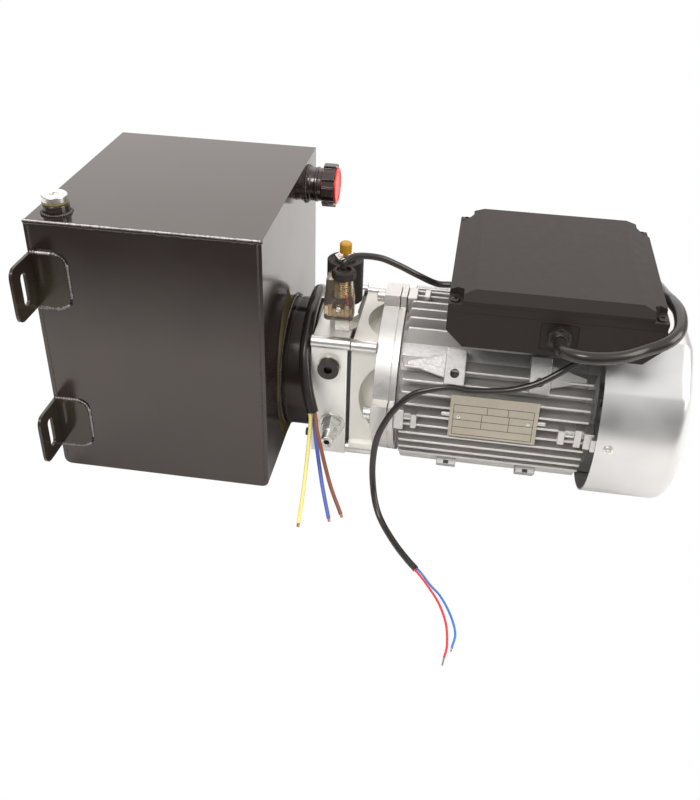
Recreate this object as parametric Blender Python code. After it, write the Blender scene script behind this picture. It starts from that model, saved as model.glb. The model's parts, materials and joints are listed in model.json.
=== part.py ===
"""Electric hydraulic power pack: square steel tank, gear pump on a manifold, finned motor.

X runs along the drive axis, from the foot face of the tank towards the fan. Z is up with
the pack lying on its side. The origin is where the drive axis meets the foot face.
Sizes are in millimetres and become metres when a mesh is made.
"""
import math

import bmesh
import bpy
from mathutils import Matrix, Vector

MM = 0.001

# Fits between pieces
GAP = 0.3
RUNNING = 0.3

# Tank
TANK_LENGTH = 220.0
TANK_DEPTH = 254.0
TANK_HEIGHT = 273.0
TANK_WALL = 2.5
TANK_BEND = 7.0
AXIS_HEIGHT = 79.0
COLLAR_LENGTH = 31.5
COLLAR_RADIUS = 70.0
COLLAR_BORE = 60.0

# Foot brackets on the front of the tank
BRACKET_THICK = 3.0
BRACKET_WELD_LEG = 36.0
BRACKET_SLOT_LEG = 38.0
BRACKET_TALL = 55.0
BRACKET_CORNER = 9.0
BRACKET_UPPER = 136.0
BRACKET_LOWER = -24.0
SLOT_WIDE = 10.5
SLOT_LONG = 32.0
SLOT_OFFSET = 21.0

# Drain plug on the top of the tank
DRAIN_X = 22.0
DRAIN_INSET = 25.0
DRAIN_BOSS_RADIUS = 15.0
DRAIN_BOSS_TALL = 9.0
DRAIN_SEAL_TALL = 2.0
DRAIN_HEAD_RADIUS = 12.5
DRAIN_HEAD_TALL = 6.0
DRAIN_THREAD_RADIUS = 8.3
DRAIN_SOCKET = 4.6
DRAIN_CHAMFER = 1.0
DRAIN_SEAL_LIP = 1.0

# Filler neck and cap
FILLER_FROM_BACK = 46.0
FILLER_FROM_TOP = 24.0
FILLER_NECK_RADIUS = 18.5
FILLER_NECK_BORE = 14.0
FILLER_NECK_LONG = 15.0
CAP_RADIUS = 22.5
CAP_LONG = 13.0
CAP_LUGS = 8
CAP_LUG_DEEP = 2.2
CAP_STEM_LONG = 12.0
CAP_LUG_SHARE = 0.55
CAP_DISC_CHAMFER = 0.6
CAP_DISC_RADIUS = 19.0
CAP_DISC_THICK = 2.0
CAP_SEAL_THICK = 2.0

# Manifold, pump plate and adapter
MANIFOLD_LENGTH = 36.5
MANIFOLD_HALF = 63.0
CORNER_RIDGE_RADIUS = 6.0
SPIGOT_LONG = 29.0
PLATE_THICK = 3.2
ADAPTER_LENGTH = 25.5
ADAPTER_HALF = 61.0
ADAPTER_BORE = 32.0
POCKET_RADIUS = 50.0
POCKET_SHIFT = 33.5
POCKET_DEEP = 14.0
SHAFT_PASSAGE = 10.5
RIDGE_INSET = 1.0
PLATE_INSET = 4.0
PORT_DEEP = 18.0
VALVE_CAVITY_DEEP = 25.0

# Gear pump inside the tank
PUMP_HALF_WIDE = 30.0
PUMP_ABOVE = 30.0
PUMP_BELOW = 46.0
PUMP_BODY_LONG = 58.0
PUMP_COVER_LONG = 12.0
GEAR_TEETH = 12
GEAR_PITCH_RADIUS = 12.0
GEAR_ADDENDUM = 1.8
GEAR_DEDENDUM = 2.2
GEAR_WIDE = 28.0
PUMP_SHAFT_RADIUS = 8.0
GEAR_ARM_RADIUS = 6.0
GEAR_ARM_DEEP = 8.0
COVER_FLOOR = 2.0
TOOTH_ROOT_SHARE = 0.29
TOOTH_TIP_SHARE = 0.11
SUCTION_RADIUS = 9.0
SUCTION_WALL = 1.5
STRAINER_RADIUS = 22.0
STRAINER_LONG = 46.0
STRAINER_NECK = 16.0

# Coupling and motor shaft
COUPLING_RADIUS = 20.0
COUPLING_LONG = 30.0
COUPLING_INSET = 1.0
COUPLING_ROOM = 2.0
SHAFT_SHOULDER = 2.0
SHAFT_END_RADIUS = 12.0
BEARING_BORE = 12.5
BEARING_RADIUS = 26.0
BEARING_WIDE = 15.0
SHAFT_CORE_RADIUS = 15.0
FAN_SHAFT_RADIUS = 9.0

# Motor
FLANGE_RADIUS = 85.0
FLANGE_LONG = 22.7
LUG_TALL = 18.0
LUG_HALF = 14.5
FRAME_LUG_INSET = 2.0
FRAME_LUG_TRIM = 3.0
FRAME_LUG_LONG = 22.0
REAR_LUGS = (0.0, 180.0, 270.0)
FLANGE_BOLT_RADIUS = 4.0
FLANGE_BOLT_HEAD = 6.5
FLANGE_BOLT_HEAD_TALL = 8.0
FLANGE_BOLT_INSET = 8.5
FLANGE_BOLT_SHORT = 1.0
FRAME_LENGTH = 185.0
FRAME_RADIUS = 78.0
FRAME_WALL = 11.5
FIN_TALL = 14.0
FIN_THICK = 2.4
FIN_PITCH = 11.5
SIDE_FIN_SPREAD = 43.0
TOP_FIN_SPREAD = 39.0
BOSS_WIDE = 21.0
BOSS_TALL = 19.0
BOSS_ANGLE = 47.0
BOSS_UPPER_ANGLE = 37.0
BOSS_UPPER_WIDE = 36.0
BOSS_INSET = 56.0
BOSS_SPACING = 82.0
STATOR_BORE = 40.6
STATOR_LONG = 120.0
WINDING_ROOM = 5.5
WINDING_LONG = 17.0
WINDING_STEP = 4.0
ROTOR_RADIUS = 40.0
REAR_SHIELD_LONG = 12.0
NAMEPLATE_LONG = 86.0
NAMEPLATE_TALL = 49.0
NAMEPLATE_THICK = 0.8
NAMEPLATE_LIFT = 11.5
NAMEPLATE_SHIFT = 1.0
NAMEPLATE_MARGIN = 1.0

# Fan and cowl
COWL_RADIUS = 106.0
COWL_WALL = 1.6
COWL_LENGTH = 83.0
COWL_ROUND = 13.0
COWL_FLAT = 90.0
COWL_STEPS = 18
COWL_STEP = 5.0
COWL_STEP_START = 57.0
COWL_STEP_END = 46.0
FAN_RADIUS = 72.0
FAN_BLADES = 8
FAN_LONG = 22.0
FAN_HUB = 18.0
FAN_INSET = 22.0
FAN_BLADE_HALF = 1.5
FAN_DISC_INSET = 4.0
FAN_DISC_THICK = 2.5
FAN_DISC_BACK = 0.5
COWL_SCREW_X = 12.0
COWL_SCREW_RADIUS = 2.0
COWL_SCREW_DEEP = 10.0
COWL_POST_HALF = 7.0
COWL_POST_ROOT = 10.0
COWL_SLOT_HALF = 3.0
COWL_SLOT_PITCH = 13.0
COWL_SLOT_REACH = 68.0
COWL_SLOTS_EACH_SIDE = 4

# Terminal box
BOX_INSET = 43.8
BOX_LENGTH = 197.0
BOX_DEPTH = 205.0
BOX_FRONT = -97.0
BOX_SEAT = 0.8
BOX_BASE_TALL = 35.5
BOX_WALL = 3.0
BOX_CHAMFER = 16.0
LID_RIM_TALL = 11.5
LID_RISE = 10.0
LID_BEVEL_ENDS = 24.0
LID_BEVEL_SIDES = 6.5
LID_NOTCH = 14.0
LID_NOTCH_DEEP = 3.0
CAPACITOR_RADIUS = 15.0
CAPACITOR_LONG = 90.0
CAPACITOR_INSET = 40.0
CAPACITOR_Y = 40.0
TERMINALS_INSET = 60.0
TERMINALS_LONG = 50.0
TERMINALS_WIDE = 30.0
TERMINALS_TALL = 16.0
TERMINALS_Y = -35.0
GLAND_INSET = 103.0
GLAND_LIFT = 22.0
GLAND_RADIUS = 11.5
GLAND_LONG = 14.0
GLAND_NUT_LONG = 9.0
GLAND_NOSE_WALL = 1.5
GLAND_NOSE_INSET = 2.5

# Solenoid valve on the manifold
VALVE_INSET = 26.9
VALVE_Y = -26.0
VALVE_HEX = 15.0
VALVE_STEM_RADIUS = 7.5
VALVE_STEM_LONG = 23.0
VALVE_HEX_TALL = 14.0
VALVE_TUBE_RADIUS = 7.0
COIL_RADIUS = 18.0
COIL_BOTTOM = 94.0
COIL_TALL = 43.5
COIL_NUT_RADIUS = 11.0
COIL_NUT_TALL = 3.2
KNOB_RADIUS = 6.0
KNOB_TALL = 11.0
KNOB_TRAVEL = 3.0
KNOB_STEM_RADIUS = 2.2
KNOB_STEM_LONG = 20.0
KNOB_STEM_ROOM = 3.0
KNOB_CHAMFER = 1.5
CONNECTOR_WIDE = 28.0
CONNECTOR_DEEP = 20.0
CONNECTOR_TALL = 46.0
CONNECTOR_BOTTOM = 86.0
CONNECTOR_SHIFT = -0.5
CONNECTOR_GLAND_TALL = 9.0
CONNECTOR_GLAND_RADIUS = 12.0
CONNECTOR_GLAND_SHIFT = (4.0, -2.9)

# Ports on the front of the manifold
PORT_INSET = 18.4
PORT_PLUG_Z = 34.5
PORT_PLUG_RADIUS = 11.0
PORT_PLUG_TALL = 6.0
PORT_PLUG_STEM = 7.7
PORT_STEM_LONG = 12.0
PORT_SOCKET = 4.6
PORT_SEAL_THICK = 1.5
PORT_SEAL_LIP = 1.0
FITTING_Z = -36.0
FITTING_SHIFT = 4.0
FITTING_WASHER_RADIUS = 13.5
FITTING_LONG = 32.0
FITTING_THREAD_RADIUS = 6.5
FITTING_WASHER_THICK = 2.0
FITTING_BODY_HEX = 11.5
FITTING_BODY_LONG = 9.0
FITTING_NUT_HEX = 9.0
FITTING_NUT_LONG = 8.0
FITTING_BORE = 3.0

# Leads
MAIN_CABLE_RADIUS = 6.0
MAIN_CORE_RADIUS = 2.0
THIN_CABLE_RADIUS = 3.2
THIN_CORE_RADIUS = 1.1
END_RUN = 4.0

# Extra length of a tool that cuts or joins, past the face it goes through
PAST = 1.0

# Places that follow from the sizes above
TANK_BOTTOM = -AXIS_HEIGHT
TANK_TOP = TANK_HEIGHT - AXIS_HEIGHT
TANK_FRONT = -TANK_DEPTH / 2
DRAIN_Y = TANK_FRONT + DRAIN_INSET
FILLER_Y = -TANK_FRONT - FILLER_FROM_BACK
FILLER_Z = TANK_TOP - FILLER_FROM_TOP
COLLAR_END = TANK_LENGTH + GAP + COLLAR_LENGTH
MANIFOLD_START = COLLAR_END + GAP
MANIFOLD_END = MANIFOLD_START + MANIFOLD_LENGTH
PLATE_START = MANIFOLD_END + GAP
PLATE_END = PLATE_START + PLATE_THICK
ADAPTER_START = PLATE_END + GAP
ADAPTER_END = ADAPTER_START + ADAPTER_LENGTH
FLANGE_START = ADAPTER_END + GAP
FLANGE_END = FLANGE_START + FLANGE_LONG
FRAME_START = FLANGE_END + GAP
FRAME_END = FRAME_START + FRAME_LENGTH
REAR_SHIELD_START = FRAME_END + GAP
REAR_SHIELD_END = REAR_SHIELD_START + REAR_SHIELD_LONG
COWL_START = REAR_SHIELD_END + GAP
COWL_END = COWL_START + COWL_LENGTH
SPIGOT_START = MANIFOLD_START - SPIGOT_LONG
PUMP_END = SPIGOT_START - GAP
PUMP_START = PUMP_END - PUMP_BODY_LONG
PUMP_COVER_END = PUMP_START - GAP
PUMP_COVER_START = PUMP_COVER_END - PUMP_COVER_LONG
GEAR_START = PUMP_START + GAP
GEAR_END = GEAR_START + GEAR_WIDE
GEAR_OUTER = GEAR_PITCH_RADIUS + GEAR_ADDENDUM
GEAR_SPACING = 2 * GEAR_PITCH_RADIUS
COUPLING_START = ADAPTER_START + COUPLING_INSET
COUPLING_END = COUPLING_START + COUPLING_LONG
SHAFT_START = COUPLING_START + COUPLING_LONG / 2
FRONT_BEARING_START = FLANGE_END - BEARING_WIDE
STATOR_MIDDLE = (FRAME_START + FRAME_END) / 2
FAN_START = COWL_START + FAN_INSET
FAN_END = FAN_START + FAN_LONG
LUG_REACH = FRAME_RADIUS + LUG_TALL
FRAME_BORE = FRAME_RADIUS - FRAME_WALL
FIN_REACH = FRAME_RADIUS + FIN_TALL
BOSS_REACH = FRAME_RADIUS + BOSS_TALL
WINDING_RADIUS = FRAME_BORE - WINDING_ROOM
FRAME_LUG_ROOT = FRAME_RADIUS - FRAME_WALL / 3
BOX_START = FRAME_START + BOX_INSET
BOX_END = BOX_START + BOX_LENGTH
BOX_BOTTOM = FIN_REACH + BOX_SEAT
BOX_BACK = BOX_FRONT + BOX_DEPTH
BOX_TOP = BOX_BOTTOM + BOX_BASE_TALL
GLAND_X = BOX_START + GLAND_INSET
GLAND_Z = BOX_BOTTOM + GLAND_LIFT
GLAND_MOUTH = BOX_FRONT - GAP - GLAND_LONG
LID_BOTTOM = BOX_TOP + GAP
MANIFOLD_TOP = MANIFOLD_HALF
MANIFOLD_FRONT = -MANIFOLD_HALF
VALVE_X = MANIFOLD_START + VALVE_INSET
CONNECTOR_X = VALVE_X + CONNECTOR_SHIFT
PORT_X = MANIFOLD_START + PORT_INSET
FITTING_X = PORT_X + FITTING_SHIFT
FLOOR_SLOPE = (COWL_RADIUS - AXIS_HEIGHT) / COWL_START

COLOURS = {
    "black_gloss": ((0.012, 0.011, 0.011), 0.22, 0.0),
    "black_plastic": ((0.035, 0.030, 0.028), 0.5, 0.0),
    "black_rubber": ((0.02, 0.02, 0.02), 0.45, 0.0),
    "aluminium": ((0.78, 0.78, 0.77), 0.35, 1.0),
    "cast_aluminium": ((0.62, 0.62, 0.61), 0.42, 1.0),
    "zinc": ((0.70, 0.71, 0.72), 0.28, 1.0),
    "steel": ((0.50, 0.50, 0.50), 0.35, 1.0),
    "olive_seal": ((0.25, 0.22, 0.10), 0.5, 0.0),
    "red_plastic": ((0.70, 0.04, 0.03), 0.4, 0.0),
    "orange_plastic": ((0.85, 0.42, 0.04), 0.4, 0.0),
    "smoked": ((0.10, 0.07, 0.06), 0.15, 0.0),
    "copper": ((0.75, 0.36, 0.20), 0.4, 1.0),
    "yellow_core": ((0.85, 0.78, 0.20), 0.45, 0.0),
    "blue_core": ((0.06, 0.16, 0.60), 0.45, 0.0),
    "brown_core": ((0.28, 0.12, 0.06), 0.45, 0.0),
    "red_core": ((0.70, 0.05, 0.05), 0.45, 0.0),
    "cream_plastic": ((0.70, 0.66, 0.55), 0.5, 0.0),
}


def clear_scene():
    for item in list(bpy.data.objects):
        bpy.data.objects.remove(item, do_unlink=True)


def finish(name, colour):
    """A material of its own for one piece."""
    base, roughness, metallic = COLOURS[colour]
    material = bpy.data.materials.new(name + "_finish")
    material.use_nodes = True
    shader = material.node_tree.nodes["Principled BSDF"]
    shader.inputs["Base Color"].default_value = (*base, 1.0)
    shader.inputs["Roughness"].default_value = roughness
    shader.inputs["Metallic"].default_value = metallic
    return material


def add_object(name, mesh_builder, colour=None):
    """Turn a bmesh in millimetres into an object in metres; no colour makes it a cutter."""
    mesh_builder.normal_update()
    bmesh.ops.scale(mesh_builder, vec=(MM, MM, MM), verts=mesh_builder.verts)
    bmesh.ops.recalc_face_normals(mesh_builder, faces=mesh_builder.faces)
    mesh = bpy.data.meshes.new(name)
    mesh_builder.to_mesh(mesh)
    mesh_builder.free()
    item = bpy.data.objects.new(name, mesh)
    bpy.context.scene.collection.objects.link(item)
    if colour is None:
        item.hide_render = True
        item.display_type = "WIRE"
    else:
        mesh.materials.append(finish(name, colour))
        mesh.shade_smooth()
        mesh.set_sharp_from_angle(angle=math.radians(35))
    return item


def boolean(item, tool, operation):
    modifier = item.modifiers.new(operation.lower(), "BOOLEAN")
    modifier.operation = operation
    modifier.object = tool
    modifier.solver = "EXACT"


def cut(item, *tools):
    for tool in tools:
        boolean(item, tool, "DIFFERENCE")


def join(item, *tools):
    for tool in tools:
        boolean(item, tool, "UNION")


AXES = {
    "X": Matrix(((0, 0, 1, 0), (1, 0, 0, 0), (0, 1, 0, 0), (0, 0, 0, 1))),
    "Y": Matrix(((0, 1, 0, 0), (0, 0, 1, 0), (1, 0, 0, 0), (0, 0, 0, 1))),
    "Z": Matrix.Identity(4),
}


def prism_mesh(outline, low, high, axis, builder=None):
    """Extrude an outline. Along X it holds (y, z), along Y (z, x), along Z (x, y)."""
    builder = builder or bmesh.new()
    turn = AXES[axis]
    bottom = [builder.verts.new(turn @ Vector((a, b, low))) for a, b in outline]
    top = [builder.verts.new(turn @ Vector((a, b, high))) for a, b in outline]
    builder.faces.new(list(reversed(bottom)))
    builder.faces.new(top)
    count = len(outline)
    for i in range(count):
        j = (i + 1) % count
        builder.faces.new((bottom[i], bottom[j], top[j], top[i]))
    return builder


def prism(name, outline, low, high, axis, colour=None):
    return add_object(name, prism_mesh(outline, low, high, axis), colour)


def turned_mesh(profile, axis, centre=(0.0, 0.0), sides=20, builder=None):
    """Turn a closed profile of (along, radius) about an axis through centre."""
    builder = builder or bmesh.new()
    turn = AXES[axis]
    rings = []
    for along, radius in profile:
        if radius == 0.0:
            rings.append([builder.verts.new(turn @ Vector((centre[0], centre[1], along)))])
            continue
        ring = []
        for i in range(sides):
            angle = 2 * math.pi * (i + 0.5) / sides
            a = centre[0] + radius * math.cos(angle)
            b = centre[1] + radius * math.sin(angle)
            ring.append(builder.verts.new(turn @ Vector((a, b, along))))
        rings.append(ring)
    count = len(rings)
    for k in range(count):
        first, second = rings[k], rings[(k + 1) % count]
        if len(first) == 1 and len(second) == 1:
            continue
        for i in range(sides):
            j = (i + 1) % sides
            if len(first) == 1:
                builder.faces.new((first[0], second[j], second[i]))
            elif len(second) == 1:
                builder.faces.new((first[i], first[j], second[0]))
            else:
                builder.faces.new((first[i], first[j], second[j], second[i]))
    return builder


def turned(name, profile, axis, centre=(0.0, 0.0), sides=20, colour=None):
    return add_object(name, turned_mesh(profile, axis, centre, sides), colour)


def rod_profile(low, high, radius):
    return [(low, 0.0), (low, radius), (high, radius), (high, 0.0)]


def ring_profile(low, high, outer, inner):
    return [(low, inner), (low, outer), (high, outer), (high, inner)]


def rod(name, low, high, radius, axis, centre=(0.0, 0.0), sides=16, colour=None):
    return turned(name, rod_profile(low, high, radius), axis, centre, sides, colour)


def rectangle(low_a, high_a, low_b, high_b):
    return [(low_a, low_b), (high_a, low_b), (high_a, high_b), (low_a, high_b)]


def polygon(sides, radius, centre=(0.0, 0.0), turn=0.0):
    points = []
    for i in range(sides):
        angle = turn + 2 * math.pi * i / sides
        points.append((centre[0] + radius * math.cos(angle), centre[1] + radius * math.sin(angle)))
    return points


def arc(centre, radius, start, end, steps):
    """Points on an arc, angles in degrees."""
    points = []
    for i in range(steps + 1):
        angle = math.radians(start + (end - start) * i / steps)
        points.append((centre[0] + radius * math.cos(angle), centre[1] + radius * math.sin(angle)))
    return points


def hex_socket(name, centre, low, high, axis, across):
    return prism(name, polygon(6, across, centre), low, high, axis)


def lobed_outline(radius, lobes, step=6.0):
    """A round outline with square lobes: each lobe is (angle in degrees, half width, reach)."""
    points = []
    lobes = sorted(lobes)
    for k, (angle, half, reach) in enumerate(lobes):
        spread = math.degrees(math.asin(half / radius))
        along = Vector((math.cos(math.radians(angle)), math.sin(math.radians(angle))))
        across = Vector((-along.y, along.x))
        root = math.sqrt(radius * radius - half * half)
        for out, side in ((root, -half), (reach, -half), (reach, half), (root, half)):
            corner = along * out + across * side
            points.append((corner.x, corner.y))
        following = lobes[(k + 1) % len(lobes)]
        next_angle = following[0] + (360.0 if k + 1 == len(lobes) else 0.0)
        start = angle + spread
        end = next_angle - math.degrees(math.asin(following[1] / radius))
        steps = max(1, round((end - start) / step))
        points += arc((0.0, 0.0), radius, start, end, steps)[1:-1]
    return points


def tank():
    """Folded and welded shell, open only at the pump, filler and drain holes."""
    def outline(inset):
        low, high = inset, TANK_LENGTH - inset
        bottom, top = TANK_BOTTOM + inset, TANK_TOP - inset
        bend = TANK_BEND - inset
        points = [(top, low), (top, high)]
        points += arc((bottom + bend, high - bend), bend, 90, 180, 4)
        points += arc((bottom + bend, low + bend), bend, 180, 270, 4)
        return points

    half = TANK_DEPTH / 2
    shell = prism("tank_shell", outline(0.0), -half, half, "Y", "black_gloss")
    inner = half - TANK_WALL
    cut(shell, prism("tank_inside", outline(TANK_WALL), -inner, inner, "Y"))
    wall_low, wall_high = TANK_LENGTH - 2 * TANK_WALL, TANK_LENGTH + TANK_WALL
    cut(shell, rod("pump_hole", wall_low, wall_high, COLLAR_BORE, "X", sides=48))
    filler = (FILLER_Y, FILLER_Z)
    cut(shell, rod("filler_hole", wall_low, wall_high, FILLER_NECK_BORE, "X", filler))
    drain = (DRAIN_X, DRAIN_Y)
    hole = DRAIN_THREAD_RADIUS + GAP
    cut(shell, rod("drain_hole", TANK_TOP - 2 * TANK_WALL, TANK_TOP + PAST, hole, "Z", drain))
    profile = ring_profile(TANK_LENGTH + GAP, COLLAR_END, COLLAR_RADIUS, COLLAR_BORE)
    turned("tank_collar", profile, "X", sides=48, colour="black_gloss")


def bracket(name, height):
    """Angle foot: one leg lies on the tank front, the slotted leg stands out at the foot face."""
    low, high = height - BRACKET_TALL / 2, height + BRACKET_TALL / 2
    back = TANK_FRONT - GAP
    face = back - BRACKET_THICK
    tip = face - BRACKET_SLOT_LEG
    outline = [(0.0, back), (BRACKET_WELD_LEG, back), (BRACKET_WELD_LEG, face), (BRACKET_THICK, face)]
    outline += [(BRACKET_THICK, tip), (0.0, tip)]
    foot = prism(name, outline, low, high, "Z", "black_gloss")
    slot_y = back - SLOT_OFFSET
    half = (SLOT_LONG - SLOT_WIDE) / 2
    slot = arc((slot_y, height + half), SLOT_WIDE / 2, 0, 180, 6)
    slot += arc((slot_y, height - half), SLOT_WIDE / 2, 180, 360, 6)
    cut(foot, prism(name + "_slot", slot, -PAST, BRACKET_THICK + PAST, "X"))
    for label, edge, sign in (("top", high, 1), ("bottom", low, -1)):
        corner = [(tip - PAST, edge + sign * PAST), (tip + BRACKET_CORNER, edge + sign * PAST)]
        corner += [(tip - PAST, edge - sign * (BRACKET_CORNER + PAST))]
        cut(foot, prism(name + "_corner_" + label, corner, -PAST, BRACKET_THICK + PAST, "X"))


def drain():
    centre = (DRAIN_X, DRAIN_Y)
    base = TANK_TOP + GAP
    boss_top = base + DRAIN_BOSS_TALL
    hole = DRAIN_THREAD_RADIUS + GAP
    profile = ring_profile(base, boss_top, DRAIN_BOSS_RADIUS, hole)
    turned("drain_boss", profile, "Z", centre, 24, "black_gloss")
    seal = boss_top + GAP
    seal_top = seal + DRAIN_SEAL_TALL
    profile = ring_profile(seal, seal_top, DRAIN_HEAD_RADIUS + DRAIN_SEAL_LIP, hole)
    turned("drain_seal", profile, "Z", centre, 24, "olive_seal")
    head = seal_top + GAP
    top = head + DRAIN_HEAD_TALL
    chamfer = DRAIN_CHAMFER
    profile = [(TANK_TOP - TANK_WALL, 0.0), (TANK_TOP - TANK_WALL, DRAIN_THREAD_RADIUS)]
    profile += [(head, DRAIN_THREAD_RADIUS), (head, DRAIN_HEAD_RADIUS)]
    profile += [(top - chamfer, DRAIN_HEAD_RADIUS), (top, DRAIN_HEAD_RADIUS - chamfer), (top, 0.0)]
    plug = turned("drain_plug", profile, "Z", centre, 24, "zinc")
    cut(plug, hex_socket("drain_socket", centre, head + PAST, top + PAST, "Z", DRAIN_SOCKET))


def filler():
    centre = (FILLER_Y, FILLER_Z)
    start = TANK_LENGTH + GAP
    neck_end = start + FILLER_NECK_LONG
    profile = ring_profile(start, neck_end, FILLER_NECK_RADIUS, FILLER_NECK_BORE)
    turned("filler_neck", profile, "X", centre, 24, "black_gloss")
    seal_start = neck_end + GAP
    seal_end = seal_start + CAP_SEAL_THICK
    profile = ring_profile(seal_start, seal_end, FILLER_NECK_RADIUS, FILLER_NECK_BORE)
    turned("filler_seal", profile, "X", centre, 24, "red_plastic")
    cap_start = seal_end + GAP
    cap_end = cap_start + CAP_LONG
    lug = CAP_RADIUS * math.sin(math.pi / CAP_LUGS) * CAP_LUG_SHARE
    lobes = [(360.0 * i / CAP_LUGS, lug, CAP_RADIUS) for i in range(CAP_LUGS)]
    lugged = lobed_outline(CAP_RADIUS - CAP_LUG_DEEP, lobes, 15.0)
    outline = [(FILLER_Y + a, FILLER_Z + b) for a, b in lugged]
    cap = prism("filler_cap", outline, cap_start, cap_end, "X", "black_plastic")
    stem = FILLER_NECK_BORE - 2 * RUNNING
    join(cap, rod("filler_stem", cap_start - CAP_STEM_LONG, cap_start + PAST, stem, "X", centre, 20))
    disc_end = cap_end + CAP_DISC_THICK
    profile = [(cap_end + GAP, 0.0), (cap_end + GAP, CAP_DISC_RADIUS)]
    profile += [(disc_end - CAP_DISC_CHAMFER, CAP_DISC_RADIUS)]
    profile += [(disc_end, CAP_DISC_RADIUS - CAP_DISC_CHAMFER), (disc_end, 0.0)]
    turned("cap_disc", profile, "X", centre, 24, "red_plastic")


def ridged_square(half, ridge):
    """Square section with a round bead on each corner."""
    middle = half - RIDGE_INSET
    lean = math.degrees(math.asin(RIDGE_INSET / ridge))
    points = []
    for quarter in range(4):
        turn = Matrix.Rotation(math.radians(90 * quarter), 2)
        for a, b in arc((middle, middle), ridge, -90 + lean, 180 - lean, 9):
            corner = turn @ Vector((a, b))
            points.append((corner.x, corner.y))
    return points


def manifold():
    section = ridged_square(MANIFOLD_HALF, CORNER_RIDGE_RADIUS)
    block = prism("manifold_block", section, MANIFOLD_START, MANIFOLD_END, "X", "aluminium")
    spigot = COLLAR_BORE - GAP
    join(block, rod("manifold_spigot", SPIGOT_START, MANIFOLD_START + PAST, spigot, "X", sides=48))
    cut(block, rod("shaft_passage", SPIGOT_START - PAST, MANIFOLD_END + PAST, SHAFT_PASSAGE, "X"))
    outside, inside = MANIFOLD_FRONT - PAST, MANIFOLD_FRONT + PORT_DEEP
    cut(block, rod("plug_port", outside, inside, PORT_PLUG_STEM + GAP, "Y", (PORT_PLUG_Z, PORT_X)))
    thread = FITTING_THREAD_RADIUS + GAP
    cut(block, rod("pressure_port", outside, inside, thread, "Y", (FITTING_Z, FITTING_X)))
    floor, mouth = MANIFOLD_TOP - VALVE_CAVITY_DEEP, MANIFOLD_TOP + PAST
    cut(block, rod("valve_cavity", floor, mouth, VALVE_STEM_RADIUS + GAP, "Z", (VALVE_X, VALVE_Y)))
    plate_half = MANIFOLD_HALF - PLATE_INSET
    outline = rectangle(-plate_half, plate_half, -plate_half, plate_half)
    plate = prism("pump_gasket", outline, PLATE_START, PLATE_END, "X", "black_rubber")
    cut(plate, rod("gasket_hole", PLATE_START - PAST, PLATE_END + PAST, ADAPTER_BORE, "X"))


def adapter():
    section = ridged_square(ADAPTER_HALF, CORNER_RIDGE_RADIUS)
    block = prism("motor_adapter", section, ADAPTER_START, ADAPTER_END, "X", "aluminium")
    cut(block, rod("adapter_bore", ADAPTER_START - PAST, ADAPTER_END + PAST, ADAPTER_BORE, "X"))
    low, high = ADAPTER_HALF - POCKET_DEEP, ADAPTER_HALF + PAST
    middle = ADAPTER_END + POCKET_SHIFT
    cut(block, rod("pocket_top", low, high, POCKET_RADIUS, "Z", (middle, 0.0), 32))
    cut(block, rod("pocket_bottom", -high, -low, POCKET_RADIUS, "Z", (middle, 0.0), 32))
    cut(block, rod("pocket_front", -high, -low, POCKET_RADIUS, "Y", (0.0, middle), 32))
    cut(block, rod("pocket_back", low, high, POCKET_RADIUS, "Y", (0.0, middle), 32))


def gear_outline(centre, phase):
    """Twelve straight-flanked teeth, thin enough to turn freely in mesh."""
    pitch = 2 * math.pi / GEAR_TEETH
    root = GEAR_PITCH_RADIUS - GEAR_DEDENDUM
    points = []
    for i in range(GEAR_TEETH):
        middle = phase + i * pitch
        tooth = ((root, -TOOTH_ROOT_SHARE), (GEAR_OUTER, -TOOTH_TIP_SHARE))
        tooth += ((GEAR_OUTER, TOOTH_TIP_SHARE), (root, TOOTH_ROOT_SHARE))
        for radius, share in tooth:
            angle = middle + share * pitch
            points.append((centre[0] + radius * math.cos(angle), centre[1] + radius * math.sin(angle)))
    return points


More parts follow.
